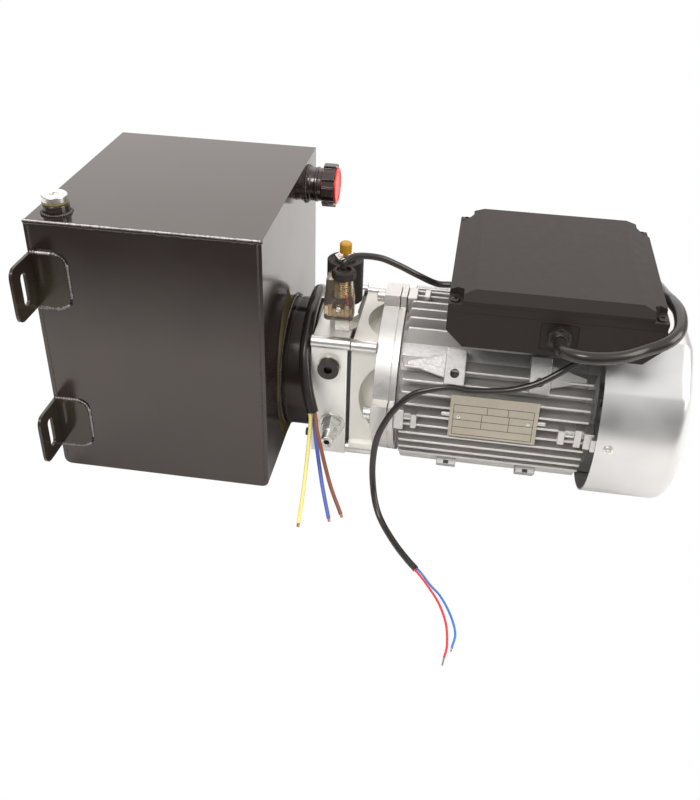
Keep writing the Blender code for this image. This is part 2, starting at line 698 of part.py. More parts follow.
def pump():
    outline = rectangle(-PUMP_HALF_WIDE, PUMP_HALF_WIDE, -PUMP_BELOW, PUMP_ABOVE)
    body = prism("pump_body", outline, PUMP_START, PUMP_END, "X", "cast_aluminium")
    driven_centre = (0.0, -GEAR_SPACING)
    cavity_end = GEAR_END + GAP
    cavity = GEAR_OUTER + RUNNING
    cut(body, rod("drive_cavity", PUMP_START - PAST, cavity_end, cavity, "X"))
    cut(body, rod("driven_cavity", PUMP_START - PAST, cavity_end, cavity, "X", driven_centre))
    cut(body, rod("pump_shaft_hole", PUMP_START, PUMP_END + PAST, PUMP_SHAFT_RADIUS + RUNNING, "X"))
    arm = GEAR_ARM_RADIUS
    arm_end = PUMP_END - GEAR_ARM_DEEP
    cut(body, rod("driven_seat", PUMP_START, arm_end, arm + RUNNING, "X", driven_centre))
    suction = (GEAR_START + GEAR_WIDE / 2, -GEAR_SPACING / 2)
    suction_bore = SUCTION_RADIUS - SUCTION_WALL
    cut(body, rod("suction_hole", 0.0, PUMP_HALF_WIDE + PAST, suction_bore, "Y", suction[::-1]))
    cover = prism("pump_cover", outline, PUMP_COVER_START, PUMP_COVER_END, "X", "cast_aluminium")
    seat = PUMP_COVER_START + COVER_FLOOR
    seat_mouth = PUMP_COVER_END + PAST
    cut(cover, rod("drive_seat", seat, seat_mouth, arm + RUNNING, "X"))
    cut(cover, rod("driven_cover_seat", seat, seat_mouth, arm + RUNNING, "X", driven_centre))
    teeth = gear_outline((0.0, 0.0), -math.pi / 2)
    drive = prism("drive_gear", teeth, GEAR_START, GEAR_END, "X", "steel")
    shaft_end = SHAFT_START - 2 * GAP
    join(drive, rod("drive_arm", seat + GAP, GEAR_START + PAST, arm, "X"))
    join(drive, rod("drive_tail", GEAR_END - PAST, shaft_end, PUMP_SHAFT_RADIUS, "X"))
    teeth = gear_outline(driven_centre, math.pi / 2 + math.pi / GEAR_TEETH)
    driven = prism("driven_gear", teeth, GEAR_START, GEAR_END, "X", "steel")
    join(driven, rod("driven_arms", seat + GAP, arm_end - PAST, arm, "X", driven_centre))
    suction_strainer(suction)


def suction_strainer(port):
    """Round strainer whose neck stands on the pump's suction side."""
    along, height = port
    start = PUMP_HALF_WIDE + GAP
    low = start + STRAINER_NECK
    high = low + STRAINER_LONG
    wall = SUCTION_WALL
    inner = SUCTION_RADIUS - wall
    profile = [(start, inner), (start, SUCTION_RADIUS), (low, SUCTION_RADIUS), (low, STRAINER_RADIUS)]
    profile += [(high, STRAINER_RADIUS), (high, 0.0), (high - wall, 0.0)]
    profile += [(high - wall, STRAINER_RADIUS - wall)]
    profile += [(low + wall, STRAINER_RADIUS - wall), (low + wall, inner)]
    turned("suction_strainer", profile, "Y", (height, along), 28, "steel")


def drive_line():
    """Coupling, motor shaft, rotor, bearings and fan on the drive axis."""
    outer, middle = COUPLING_RADIUS, SHAFT_START - GAP
    profile = [(COUPLING_START, PUMP_SHAFT_RADIUS + GAP), (COUPLING_START, outer), (COUPLING_END, outer)]
    profile += [(COUPLING_END, SHAFT_END_RADIUS + GAP), (middle, SHAFT_END_RADIUS + GAP)]
    profile += [(middle, PUMP_SHAFT_RADIUS + GAP)]
    turned("shaft_coupling", profile, "X", colour="steel")
    core_start = FLANGE_END + GAP
    core_end = REAR_SHIELD_START - GAP
    step = FRONT_BEARING_START - SHAFT_SHOULDER / 2
    profile = [(SHAFT_START, 0.0), (SHAFT_START, SHAFT_END_RADIUS), (step, SHAFT_END_RADIUS)]
    profile += [(step, BEARING_BORE), (core_start, BEARING_BORE)]
    profile += [(core_start, SHAFT_CORE_RADIUS), (core_end, SHAFT_CORE_RADIUS), (core_end, BEARING_BORE)]
    step = REAR_SHIELD_END + SHAFT_SHOULDER
    tail = FAN_END + SHAFT_SHOULDER
    profile += [(step, BEARING_BORE), (step, FAN_SHAFT_RADIUS), (tail, FAN_SHAFT_RADIUS), (tail, 0.0)]
    turned("motor_shaft", profile, "X", colour="steel")
    half = STATOR_LONG / 2
    core_bore = SHAFT_CORE_RADIUS + GAP
    profile = ring_profile(STATOR_MIDDLE - half, STATOR_MIDDLE + half, ROTOR_RADIUS, core_bore)
    turned("rotor_core", profile, "X", sides=24, colour="steel")
    bore = BEARING_BORE + RUNNING
    profile = ring_profile(FRONT_BEARING_START, FLANGE_END, BEARING_RADIUS, bore)
    turned("front_bearing", profile, "X", colour="steel")
    profile = ring_profile(REAR_SHIELD_START, REAR_SHIELD_END, BEARING_RADIUS, bore)
    turned("rear_bearing", profile, "X", colour="steel")
    lobes = [(360.0 * i / FAN_BLADES, FAN_BLADE_HALF, FAN_RADIUS) for i in range(FAN_BLADES)]
    outline = lobed_outline(FAN_HUB, lobes, 15.0)
    fan = prism("cooling_fan", outline, FAN_START, FAN_END, "X", "black_plastic")
    disc_end = FAN_END - FAN_DISC_BACK
    disc_radius = FAN_RADIUS - FAN_DISC_INSET
    join(fan, rod("fan_disc", disc_end - FAN_DISC_THICK, disc_end, disc_radius, "X", sides=32))
    cut(fan, rod("fan_bore", FAN_START - PAST, FAN_END + PAST, FAN_SHAFT_RADIUS + GAP, "X"))


def lug_lobes(reach, half, angles=(0.0, 90.0, 180.0, 270.0)):
    return [(angle, half, reach) for angle in angles]


def flange():
    outline = lobed_outline(FLANGE_RADIUS, lug_lobes(LUG_REACH, LUG_HALF))
    shield = prism("front_flange", outline, FLANGE_START, FLANGE_END, "X", "aluminium")
    seat, seat_radius = FRONT_BEARING_START - GAP, BEARING_RADIUS + GAP
    cut(shield, rod("front_seat", seat, FLANGE_END + PAST, seat_radius, "X", sides=32))
    coupling_hole = COUPLING_RADIUS + COUPLING_ROOM
    cut(shield, rod("shaft_hole", FLANGE_START - PAST, FLANGE_END, coupling_hole, "X", sides=32))
    middle = LUG_REACH - FLANGE_BOLT_INSET
    seat = FLANGE_START - GAP
    low = seat - FLANGE_BOLT_HEAD_TALL
    for label, y, z in (("top", 0, 1), ("back", 1, 0), ("bottom", 0, -1), ("front", -1, 0)):
        centre = (y * middle, z * middle)
        hole = FLANGE_BOLT_RADIUS + GAP
        cut(shield, rod("lug_hole_" + label, FLANGE_START - PAST, FLANGE_END + PAST, hole, "X", centre, 12))
        tip = FLANGE_END - FLANGE_BOLT_SHORT
        profile = [(low, 0.0), (low, FLANGE_BOLT_HEAD), (seat, FLANGE_BOLT_HEAD)]
        profile += [(seat, FLANGE_BOLT_RADIUS), (tip, FLANGE_BOLT_RADIUS), (tip, 0.0)]
        turned("flange_bolt_" + label, profile, "X", centre, 12, "zinc")


def fin_outline():
    """Round frame with level fins on the sides and upright fins above and below."""
    side_room = FRAME_RADIUS * math.sin(math.radians(SIDE_FIN_SPREAD))
    top_room = FRAME_RADIUS * math.sin(math.radians(TOP_FIN_SPREAD))
    side_fins = 2 * int(side_room / FIN_PITCH + 0.5)
    top_fins = 2 * int(top_room / FIN_PITCH) + 1
    tips = []
    for i in range(side_fins):
        height = (i - (side_fins - 1) / 2) * FIN_PITCH
        tips += [(height, "front"), (height, "back")]
    for i in range(top_fins):
        place = (i - (top_fins - 1) / 2) * FIN_PITCH
        tips += [(place, "top"), (place, "bottom")]
    lobes = []
    half = FIN_THICK / 2
    for place, side in tips:
        root = math.sqrt(FRAME_RADIUS ** 2 - place ** 2)
        tip = math.sqrt(FIN_REACH ** 2 - place ** 2)
        corners = []
        for out, shift in ((None, -half), (tip, -half), (tip, half), (None, half)):
            across = place + shift
            reach = math.sqrt(FRAME_RADIUS ** 2 - across ** 2) if out is None else out
            corners.append({
                "back": (reach, across),
                "front": (-reach, -across),
                "top": (-across, reach),
                "bottom": (across, -reach),
            }[side])
        centre = {
            "back": (root, place),
            "front": (-root, -place),
            "top": (-place, root),
            "bottom": (place, -root),
        }[side]
        angle = math.atan2(centre[1], centre[0])
        lobes.append((angle, corners))
    points = []
    for _, corners in sorted(lobes):
        points += corners
    return points


def motor_frame():
    frame = prism("motor_frame", fin_outline(), FRAME_START, FRAME_END, "X", "cast_aluminium")
    lug_reach, lug_half = LUG_REACH - FRAME_LUG_INSET, LUG_HALF - FRAME_LUG_TRIM
    outline = lobed_outline(FRAME_LUG_ROOT, lug_lobes(lug_reach, lug_half))
    join(frame, prism("front_lugs", outline, FRAME_START, FRAME_START + FRAME_LUG_LONG, "X"))
    outline = lobed_outline(FRAME_LUG_ROOT, lug_lobes(lug_reach, lug_half, REAR_LUGS))
    join(frame, prism("rear_lugs", outline, FRAME_END - FRAME_LUG_LONG, FRAME_END, "X"))
    upper = (BOSS_UPPER_ANGLE, 180 - BOSS_UPPER_ANGLE)
    lobes = [(angle, BOSS_UPPER_WIDE / 2, BOSS_REACH) for angle in upper]
    lower = (180 + BOSS_ANGLE, 360 - BOSS_ANGLE)
    lobes += [(angle, BOSS_WIDE / 2, BOSS_REACH) for angle in lower]
    outline = lobed_outline(FRAME_LUG_ROOT, lobes)
    for i in range(2):
        low = FRAME_START + BOSS_INSET - BOSS_WIDE / 2 + i * BOSS_SPACING
        join(frame, prism(f"foot_bosses_{i}", outline, low, low + BOSS_WIDE, "X"))
    pad = NAMEPLATE_TALL / 2
    middle = FRAME_START + BOSS_INSET + BOSS_SPACING / 2 + NAMEPLATE_SHIFT
    low, high = middle - NAMEPLATE_LONG / 2, middle + NAMEPLATE_LONG / 2
    outline = rectangle(-FIN_REACH, -FRAME_BORE, NAMEPLATE_LIFT - pad, NAMEPLATE_LIFT + pad)
    join(frame, prism("nameplate_pad", outline, low - NAMEPLATE_MARGIN, high + NAMEPLATE_MARGIN, "X"))
    cut(frame, rod("frame_bore", FRAME_START - PAST, FRAME_END + PAST, FRAME_BORE, "X", sides=48))
    outer = -FIN_REACH - GAP
    outline = rectangle(outer - NAMEPLATE_THICK, outer, NAMEPLATE_LIFT - pad, NAMEPLATE_LIFT + pad)
    prism("nameplate", outline, low, high, "X", "zinc")
    half = STATOR_LONG / 2
    outer, inner = FRAME_BORE - GAP, STATOR_BORE
    low, high = STATOR_MIDDLE - half, STATOR_MIDDLE + half
    head = STATOR_BORE + WINDING_STEP
    profile = [(low, inner), (low, head), (low - WINDING_LONG, head), (low - WINDING_LONG, WINDING_RADIUS)]
    profile += [(low, WINDING_RADIUS), (low, outer), (high, outer), (high, WINDING_RADIUS)]
    profile += [(high + WINDING_LONG, WINDING_RADIUS), (high + WINDING_LONG, head)]
    profile += [(high, head), (high, inner)]
    turned("wound_stator", profile, "X", sides=28, colour="copper")


def rear_end():
    """Rear shield with three posts that carry the cowl, and the cowl itself."""
    lugs = lug_lobes(LUG_REACH - FRAME_LUG_INSET, LUG_HALF - FRAME_LUG_TRIM, REAR_LUGS)
    outline = lobed_outline(FLANGE_RADIUS, lugs)
    low, high = REAR_SHIELD_START, REAR_SHIELD_END
    shield = prism("rear_shield", outline, low, high, "X", "cast_aluminium")
    cut(shield, rod("rear_seat", low - PAST, high + PAST, BEARING_RADIUS + GAP, "X", sides=32))
    post_half = COWL_POST_HALF
    inside = (COWL_RADIUS - COWL_WALL) * math.cos(math.pi / (2 * COWL_STEPS))
    post_high = math.sqrt(inside ** 2 - post_half ** 2) - GAP
    post_low = FLANGE_RADIUS - COWL_POST_ROOT
    post_end = COWL_START + COWL_SCREW_X + post_half
    screw_along = COWL_START + COWL_SCREW_X
    for label, axis, sign in (("front", "Y", -1), ("back", "Y", 1), ("bottom", "Z", -1)):
        span = sorted((sign * post_low, sign * post_high))
        if axis == "Y":
            outline = rectangle(span[0], span[1], -post_half, post_half)
            centre = (0.0, screw_along)
        else:
            outline = rectangle(-post_half, post_half, span[0], span[1])
            centre = (screw_along, 0.0)
        join(shield, prism("post_" + label, outline, (low + high) / 2, post_end, "X"))
        hole = sorted((sign * (post_high - COWL_SCREW_DEEP), sign * (post_high + PAST)))
        cut(shield, rod("post_hole_" + label, hole[0], hole[1], COWL_SCREW_RADIUS, axis, centre, 12))
    cowl(screw_along)


def cowl_section(inset):
    """Round section with a flat top and a step on each shoulder, from the flat round by the back."""
    radius = COWL_RADIUS - inset
    flat = COWL_FLAT - inset
    step = COWL_STEP
    upper = radius - step
    top_angle = 90 - math.degrees(math.asin(flat / upper))
    points = []
    for side in (1, -1):
        half = []
        for angle in (top_angle, (top_angle + COWL_STEP_END) / 2, COWL_STEP_END):
            half.append((upper, angle))
        for i in range(COWL_STEPS):
            half.append((radius, COWL_STEP_START + (180 - COWL_STEP_START) * i / COWL_STEPS))
        if side == -1:
            half = list(reversed(half))
        else:
            half.append((radius, 180.0))
        for reach, angle in half:
            turn = math.radians(angle)
            points.append((side * reach * math.sin(turn), reach * math.cos(turn)))
    return points


def cowl_mesh(inset, start, end, rounding):
    """The section run along X and drawn in at the far end with a round shoulder."""
    builder = bmesh.new()
    section = cowl_section(inset)
    stations = [(start, 0.0)]
    steps = 4
    for i in range(steps + 1):
        angle = math.pi / 2 * i / steps
        stations.append((end - rounding + rounding * math.sin(angle), rounding * (1 - math.cos(angle))))
    rings = []
    for along, pull in stations:
        scale = 1.0 - pull / COWL_RADIUS
        rings.append([builder.verts.new((along, y * scale, z * scale)) for y, z in section])
    builder.faces.new(list(reversed(rings[0])))
    builder.faces.new(rings[-1])
    count = len(section)
    for first, second in zip(rings, rings[1:]):
        for i in range(count):
            j = (i + 1) % count
            builder.faces.new((first[i], first[j], second[j], second[i]))
    return builder


def cowl(screw_along):
    shell = add_object("fan_cowl", cowl_mesh(0.0, COWL_START, COWL_END, COWL_ROUND), "aluminium")
    inner_end = COWL_END - COWL_WALL
    hollow = cowl_mesh(COWL_WALL, COWL_START - PAST, inner_end, COWL_ROUND - COWL_WALL)
    cut(shell, add_object("cowl_inside", hollow))
    hole = COWL_SCREW_RADIUS + GAP
    low = COWL_RADIUS - 4 * COWL_WALL
    high = COWL_RADIUS + COWL_WALL
    cut(shell, rod("cowl_hole_front", -high, -low, hole, "Y", (0.0, screw_along), 12))
    cut(shell, rod("cowl_hole_back", low, high, hole, "Y", (0.0, screw_along), 12))
    cut(shell, rod("cowl_hole_bottom", -high, -low, hole, "Z", (screw_along, 0.0), 12))
    slots = bmesh.new()
    for i in range(-COWL_SLOTS_EACH_SIDE, COWL_SLOTS_EACH_SIDE + 1):
        height = i * COWL_SLOT_PITCH
        reach = math.sqrt(COWL_SLOT_REACH ** 2 - height ** 2)
        outline = rectangle(-reach, reach, height - COWL_SLOT_HALF, height + COWL_SLOT_HALF)
        prism_mesh(outline, inner_end - PAST, COWL_END + PAST, "X", slots)
    cut(shell, add_object("cowl_slots", slots))


def terminal_box():
    low, high = BOX_FRONT, BOX_BACK
    outline = [(BOX_TOP, BOX_START), (BOX_TOP, BOX_END), (BOX_BOTTOM + BOX_CHAMFER, BOX_END)]
    outline += [(BOX_BOTTOM, BOX_END - BOX_CHAMFER), (BOX_BOTTOM, BOX_START + BOX_CHAMFER)]
    outline += [(BOX_BOTTOM + BOX_CHAMFER, BOX_START)]
    base = prism("terminal_box_base", outline, low, high, "Y", "black_plastic")
    wall = BOX_WALL
    inside = [(BOX_TOP + PAST, BOX_START + wall), (BOX_TOP + PAST, BOX_END - wall)]
    inside += [(BOX_BOTTOM + BOX_CHAMFER, BOX_END - wall), (BOX_BOTTOM + wall, BOX_END - BOX_CHAMFER)]
    inside += [(BOX_BOTTOM + wall, BOX_START + BOX_CHAMFER), (BOX_BOTTOM + BOX_CHAMFER, BOX_START + wall)]
    cut(base, prism("box_inside", inside, low + wall, high - wall, "Y"))
    lid()
    box_contents()


def lid():
    rim_top = LID_BOTTOM + LID_RIM_TALL
    top = rim_top + LID_RISE
    builder = bmesh.new()
    rings = []
    levels = ((LID_BOTTOM, 0.0, 0.0), (rim_top, 0.0, 0.0), (top, LID_BEVEL_ENDS, LID_BEVEL_SIDES))
    for height, ends, sides in levels:
        outline = rectangle(BOX_START + ends, BOX_END - ends, BOX_FRONT + sides, BOX_BACK - sides)
        rings.append([builder.verts.new((x, y, height)) for x, y in outline])
    builder.faces.new(list(reversed(rings[0])))
    builder.faces.new(rings[-1])
    for first, second in zip(rings, rings[1:]):
        for i in range(4):
            j = (i + 1) % 4
            builder.faces.new((first[i], first[j], second[j], second[i]))
    cover = add_object("terminal_box_lid", builder, "black_plastic")
    wall = BOX_WALL
    low, high = BOX_START + LID_NOTCH + wall, BOX_END - LID_NOTCH - wall
    inner = rectangle(low, high, BOX_FRONT + LID_NOTCH, BOX_BACK - LID_NOTCH)
    cut(cover, prism("lid_inside", inner, LID_BOTTOM - PAST, rim_top + LID_RISE / 2 - wall, "Z"))
    notches = bmesh.new()
    for x in (BOX_START, BOX_END):
        for y in (BOX_FRONT, BOX_BACK):
            outline = rectangle(x - LID_NOTCH, x + LID_NOTCH, y - LID_NOTCH, y + LID_NOTCH)
            prism_mesh(outline, rim_top - LID_NOTCH_DEEP, top + PAST, "Z", notches)
    cut(cover, add_object("lid_notches", notches))


def box_contents():
    """Capacitor and terminal block on the floor of the box."""
    floor = BOX_BOTTOM + BOX_WALL + GAP
    centre = (CAPACITOR_Y, floor + CAPACITOR_RADIUS)
    low = BOX_START + CAPACITOR_INSET
    high = low + CAPACITOR_LONG
    rod("run_capacitor", low, high, CAPACITOR_RADIUS, "X", centre, 24, "cream_plastic")
    low = BOX_START + TERMINALS_INSET
    half = TERMINALS_WIDE / 2
    outline = rectangle(low, low + TERMINALS_LONG, TERMINALS_Y - half, TERMINALS_Y + half)
    prism("terminal_block", outline, floor, floor + TERMINALS_TALL, "Z", "cream_plastic")


def gland():
    """Six-sided gland nut with a round nose that the cable leaves."""
    centre = (GLAND_Z, GLAND_X)
    seat = BOX_FRONT - GAP
    nut_end = seat - GLAND_NUT_LONG
    nut = prism("cable_gland", polygon(6, GLAND_RADIUS, centre), nut_end, seat, "Y", "black_plastic")
    root = nut_end + PAST
    nose = [(GLAND_MOUTH, 0.0), (GLAND_MOUTH, MAIN_CABLE_RADIUS + GLAND_NOSE_WALL)]
    nose += [(root, GLAND_RADIUS - GLAND_NOSE_INSET), (root, 0.0)]
    join(nut, turned("gland_nose", nose, "Y", centre, 16))


def valve():
    centre = (VALVE_X, VALVE_Y)
    base = MANIFOLD_TOP + GAP
    hex_top = base + VALVE_HEX_TALL
    body = prism("valve_cartridge", polygon(6, VALVE_HEX, centre), base, hex_top, "Z", "zinc")
    tube_top = COIL_BOTTOM + COIL_TALL + COIL_NUT_TALL + GAP
    join(body, rod("valve_tube", hex_top - PAST, tube_top, VALVE_TUBE_RADIUS, "Z", centre))
    stem_end = MANIFOLD_TOP - VALVE_STEM_LONG
    join(body, rod("valve_stem", stem_end, base + PAST, VALVE_STEM_RADIUS, "Z", centre))
    stem_hole = KNOB_STEM_RADIUS + RUNNING
    floor = tube_top - KNOB_STEM_LONG - KNOB_TRAVEL - KNOB_STEM_ROOM
    cut(body, rod("override_hole", floor, tube_top + PAST, stem_hole, "Z", centre, 12))
    profile = ring_profile(COIL_BOTTOM, COIL_BOTTOM + COIL_TALL, COIL_RADIUS, VALVE_TUBE_RADIUS + GAP)
    turned("solenoid_coil", profile, "Z", centre, 32, "black_plastic")
    nut_low = COIL_BOTTOM + COIL_TALL + GAP
    nut_high = nut_low + COIL_NUT_TALL
    nut = prism("coil_nut", polygon(6, COIL_NUT_RADIUS, centre), nut_low, nut_high, "Z", "zinc")
    cut(nut, rod("nut_bore", nut_low - PAST, nut_high + PAST, VALVE_TUBE_RADIUS + GAP, "Z", centre))
    low = tube_top + KNOB_TRAVEL + GAP
    high = low + KNOB_TALL
    profile = [(tube_top - KNOB_STEM_LONG, 0.0), (tube_top - KNOB_STEM_LONG, KNOB_STEM_RADIUS)]
    profile += [(low, KNOB_STEM_RADIUS), (low, KNOB_RADIUS), (high - KNOB_CHAMFER, KNOB_RADIUS)]
    profile += [(high, KNOB_RADIUS - KNOB_CHAMFER), (high, 0.0)]
    turned("override_knob", profile, "Z", centre, 20, "orange_plastic")
    connector()


def connector():
    """Plug on the front of the coil, with its cable nut on top."""
    back = VALVE_Y - COIL_RADIUS - GAP
    front = back - CONNECTOR_DEEP
    half = CONNECTOR_WIDE / 2
    outline = rectangle(CONNECTOR_X - half, CONNECTOR_X + half, front, back)
    top = CONNECTOR_BOTTOM + CONNECTOR_TALL
    prism("valve_connector", outline, CONNECTOR_BOTTOM, top, "Z", "smoked")
    centre = (CONNECTOR_X + CONNECTOR_GLAND_SHIFT[0], (front + back) / 2 + CONNECTOR_GLAND_SHIFT[1])
    low, radius = top + GAP, CONNECTOR_GLAND_RADIUS
    rod("connector_gland", low, low + CONNECTOR_GLAND_TALL, radius, "Z", centre, 16, "black_plastic")


def ports():
    face = MANIFOLD_FRONT - GAP
    stem_end = MANIFOLD_FRONT + PORT_STEM_LONG
    centre = (PORT_PLUG_Z, PORT_X)
    seal_face = face - PORT_SEAL_THICK
    profile = ring_profile(seal_face, face, PORT_PLUG_RADIUS + PORT_SEAL_LIP, PORT_PLUG_STEM + GAP)
    turned("port_seal", profile, "Y", centre, 20, "olive_seal")
    head = seal_face - GAP
    top = head - PORT_PLUG_TALL
    profile = [(top, 0.0), (top, PORT_PLUG_RADIUS), (head, PORT_PLUG_RADIUS)]
    profile += [(head, PORT_PLUG_STEM), (stem_end, PORT_PLUG_STEM), (stem_end, 0.0)]
    plug = turned("port_plug", profile, "Y", centre, 20, "black_gloss")
    cut(plug, hex_socket("port_socket", centre, top - PAST, head - PAST, "Y", PORT_SOCKET))
    centre = (FITTING_Z, FITTING_X)
    washer_face = face - FITTING_WASHER_THICK
    thread = FITTING_THREAD_RADIUS
    washer = ring_profile(washer_face, face, FITTING_WASHER_RADIUS, thread + GAP)
    turned("fitting_washer", washer, "Y", centre, 24, "zinc")
    head = washer_face - GAP
    nut = head - FITTING_BODY_LONG
    nut_end = nut - FITTING_NUT_LONG
    tip = head - FITTING_LONG
    body = prism("outlet_fitting", polygon(6, FITTING_BODY_HEX, centre), nut, head, "Y", "zinc")
    join(body, rod("fitting_thread", head - PAST, stem_end, thread, "Y", centre, 20))
    join(body, rod("fitting_nose", tip, nut + PAST, thread, "Y", centre, 20))
    join(body, prism("fitting_nut", polygon(6, FITTING_NUT_HEX, centre), nut_end, nut + PAST, "Y"))
    cut(body, rod("fitting_bore", tip - PAST, stem_end + PAST, FITTING_BORE, "Y", centre, 12))


def floor_at(along):
    """Height of the surface that the pack lies on, touched by the tank's foot edge and the cowl."""
    return TANK_BOTTOM - FLOOR_SLOPE * along


def on_floor(points, radius):
    """Points of (x, y) laid on that surface."""
    return [(x, y, floor_at(x) + radius + GAP) for x, y in points]


def smooth_route(points, spacing):
    """Even points on a smooth curve through the route's own points."""
    knots = [Vector(p) for p in points]
    knots = [2 * knots[0] - knots[1]] + knots + [2 * knots[-1] - knots[-2]]
    dense = []
    fine = 24
    for k in range(1, len(knots) - 2):
        a, b, c, d = knots[k - 1:k + 3]
        for i in range(fine):
            t = i / fine
            dense.append(0.5 * (2 * b + (c - a) * t + (2 * a - 5 * b + 4 * c - d) * t ** 2
                                + (3 * b - a - 3 * c + d) * t ** 3))
    dense.append(knots[-2])
    total = sum((q - p).length for p, q in zip(dense, dense[1:]))
    count = max(2, round(total / spacing))
    route, gone, target = [dense[0]], 0.0, total / count
    for p, q in zip(dense, dense[1:]):
        step = (q - p).length
        while gone + step >= target - 1e-6 and len(route) < count:
            route.append(p.lerp(q, (target - gone) / step))
            target += total / count
        gone += step
    route.append(dense[-1])
    square_start = route[0] + (knots[2] - knots[1]).normalized() * END_RUN
    square_end = route[-1] - (knots[-2] - knots[-3]).normalized() * END_RUN
    return [route[0], square_start] + route[1:-1] + [square_end, route[-1]]


def lead(name, points, radius, colour):
    """A round lead along a hand-chosen route."""
    route = smooth_route(points, 4.5 * radius)
    curve = bpy.data.curves.new(name, "CURVE")
    curve.dimensions = "3D"
    curve.bevel_depth = radius * MM
    curve.bevel_resolution = 2
    curve.use_fill_caps = True
    spline = curve.splines.new("POLY")
    spline.points.add(len(route) - 1)
    for knot, place in zip(spline.points, route):
        knot.co = (*(place * MM), 1.0)
    curve.materials.append(finish(name, colour))
    item = bpy.data.objects.new(name, curve)
    bpy.context.scene.collection.objects.link(item)


def core_start(route, shift, lift):
    """Start of a core on the cut end of a sheath, and the way that the sheath points there."""
    end = Vector(route[-1])
    way = (end - Vector(route[-2])).normalized()
    side = way.cross(Vector((0, 1, 0))).normalized()
    return end + way * GAP + side * shift + side.cross(way) * lift, way


def leads():
    main = [
        (GLAND_X, GLAND_MOUTH - GAP, GLAND_Z),
        (GLAND_X, GLAND_MOUTH - 9, GLAND_Z),
        (GLAND_X + 7, GLAND_MOUTH - 21, GLAND_Z + 2),
        (GLAND_X + 25, GLAND_MOUTH - 28, GLAND_Z + 4),
        (GLAND_X + 51, GLAND_MOUTH - 21, GLAND_Z + 4),
        (GLAND_X + 74, GLAND_MOUTH - 7, GLAND_Z + 6),
        (BOX_END - 2, -111, 126),
        (BOX_END + 9.5, -95, 131),
        (BOX_END + 12, -68, 134),
        (BOX_END + 9.5, -42, 131),
        (BOX_END + 9, -8, 121),
        (BOX_END + 9, 45, 106),
        (BOX_END + 8, 95, 88),
        (BOX_END - 10, 121, 64),
        (BOX_END - 60, 124, 40),
        (BOX_END - 130, 118, 16),
        (BOX_START - 10, 110, 8),
        (BOX_START - 70, 104, 8),
        (285, 92, 18),
        (262, 84, 32),
        (246, 74, 44),
        (244, 49, 61.8),
        (244.5, 14, 77.2),
        (245, -30, 72.5),
        (245.5, -63, 48),
        (250.5, -78, 18),
        (258, -86, -7.5),
    ]
    lead("main_cable", main, MAIN_CABLE_RADIUS, "black_rubber")
    spread = {"core_yellow": ((-3.0, -1.4), (257, -96, -26), (259, -165), "yellow_core"),
              "core_blue": ((0.2, 3.0), (261.5, -92, -27), (287, -150), "blue_core"),
              "core_brown": ((2.4, -2.0), (267, -102, -26), (298, -141), "brown_core")}
    for name, (shift, bend, tip, colour) in spread.items():
        start, way = core_start(main, *shift)
        end = Vector(on_floor([tip], MAIN_CORE_RADIUS)[0])
        near = Vector(bend).lerp(end, 0.5) - Vector((0, 0, 9))
        lead(name, [start, start + way * 5, bend, near, end], MAIN_CORE_RADIUS, colour)
    plug_x = CONNECTOR_X + CONNECTOR_GLAND_SHIFT[0]
    plug_y = VALVE_Y - COIL_RADIUS - GAP - CONNECTOR_DEEP / 2 + CONNECTOR_GLAND_SHIFT[1]
    plug_top = CONNECTOR_BOTTOM + CONNECTOR_TALL + CONNECTOR_GLAND_TALL + 2 * GAP
    valve_lead = [
        (plug_x, plug_y, plug_top),
        (plug_x, plug_y, plug_top + 6),
        (plug_x + 10, plug_y + 7, plug_top + 11),
        (plug_x + 31, plug_y + 15, plug_top + 8),
        (BOX_START - 54, -36, 141),
        (BOX_START - 36, -30, 130),
        (BOX_START - 16, -20, 117),
        (BOX_START - GAP, -20, 117),
    ]
    lead("valve_lead", valve_lead, THIN_CABLE_RADIUS, "black_rubber")
    thin = [
        (515, -86, BOX_BOTTOM - GAP),
        (515, -86, BOX_BOTTOM - 8),
        (502, -94, 80),
        (479, -101, 66),
        (461, -103, 58),
        (443, -104, 53),
        (414, -105, 50),
        (394, -106, 52),
        (376, -107, 48),
        (360, -108, 41),
        (347, -110, 28),
        (336, -112, 10),
        (328, -115, -12),
        (325.5, -118, -40),
        (328, -125, -65),
        (333.5, -136, -81),
        (342, -149, -90),
    ]
    thin += on_floor([(357, -172), (371, -191), (380.7, -202.3)], THIN_CABLE_RADIUS)
    lead("switch_cable", thin, THIN_CABLE_RADIUS, "black_rubber")
    red_tail = [(394.7, -221), (406.4, -240.5), (414.6, -264), (417.2, -288), (415.8, -302)]
    blue_tail = [(396.9, -219), (407, -230.7), (417.4, -251), (423.5, -272.4), (421.6, -290)]
    tails = {"core_red": (-1.5, red_tail, "red_core"), "core_sky": (1.5, blue_tail, "blue_core")}
    for name, (shift, points, colour) in tails.items():
        start, way = core_start(thin, 0.0, shift)
        lead(name, [start, start + way * 8] + on_floor(points, THIN_CORE_RADIUS), THIN_CORE_RADIUS, colour)


def main():
    clear_scene()
    tank()
    bracket("foot_bracket_upper", BRACKET_UPPER)
    bracket("foot_bracket_lower", BRACKET_LOWER)
    drain()
    filler()
    manifold()
    adapter()
    pump()
    drive_line()
    flange()
    motor_frame()
    rear_end()
    terminal_box()
    gland()
    valve()
    ports()
    leads()


main()
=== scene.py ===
"""Looks of the electric hydraulic power pack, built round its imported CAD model.

Sizes are millimetres in the part's own frame and become metres when a mesh is made.
X runs along the drive axis from the tank's foot face to the fan, and -Y is the front.
"""
import json
from math import asin, copysign, cos, degrees, pi, radians, sin, sqrt

import bmesh
import bpy
from mathutils import Matrix, Vector


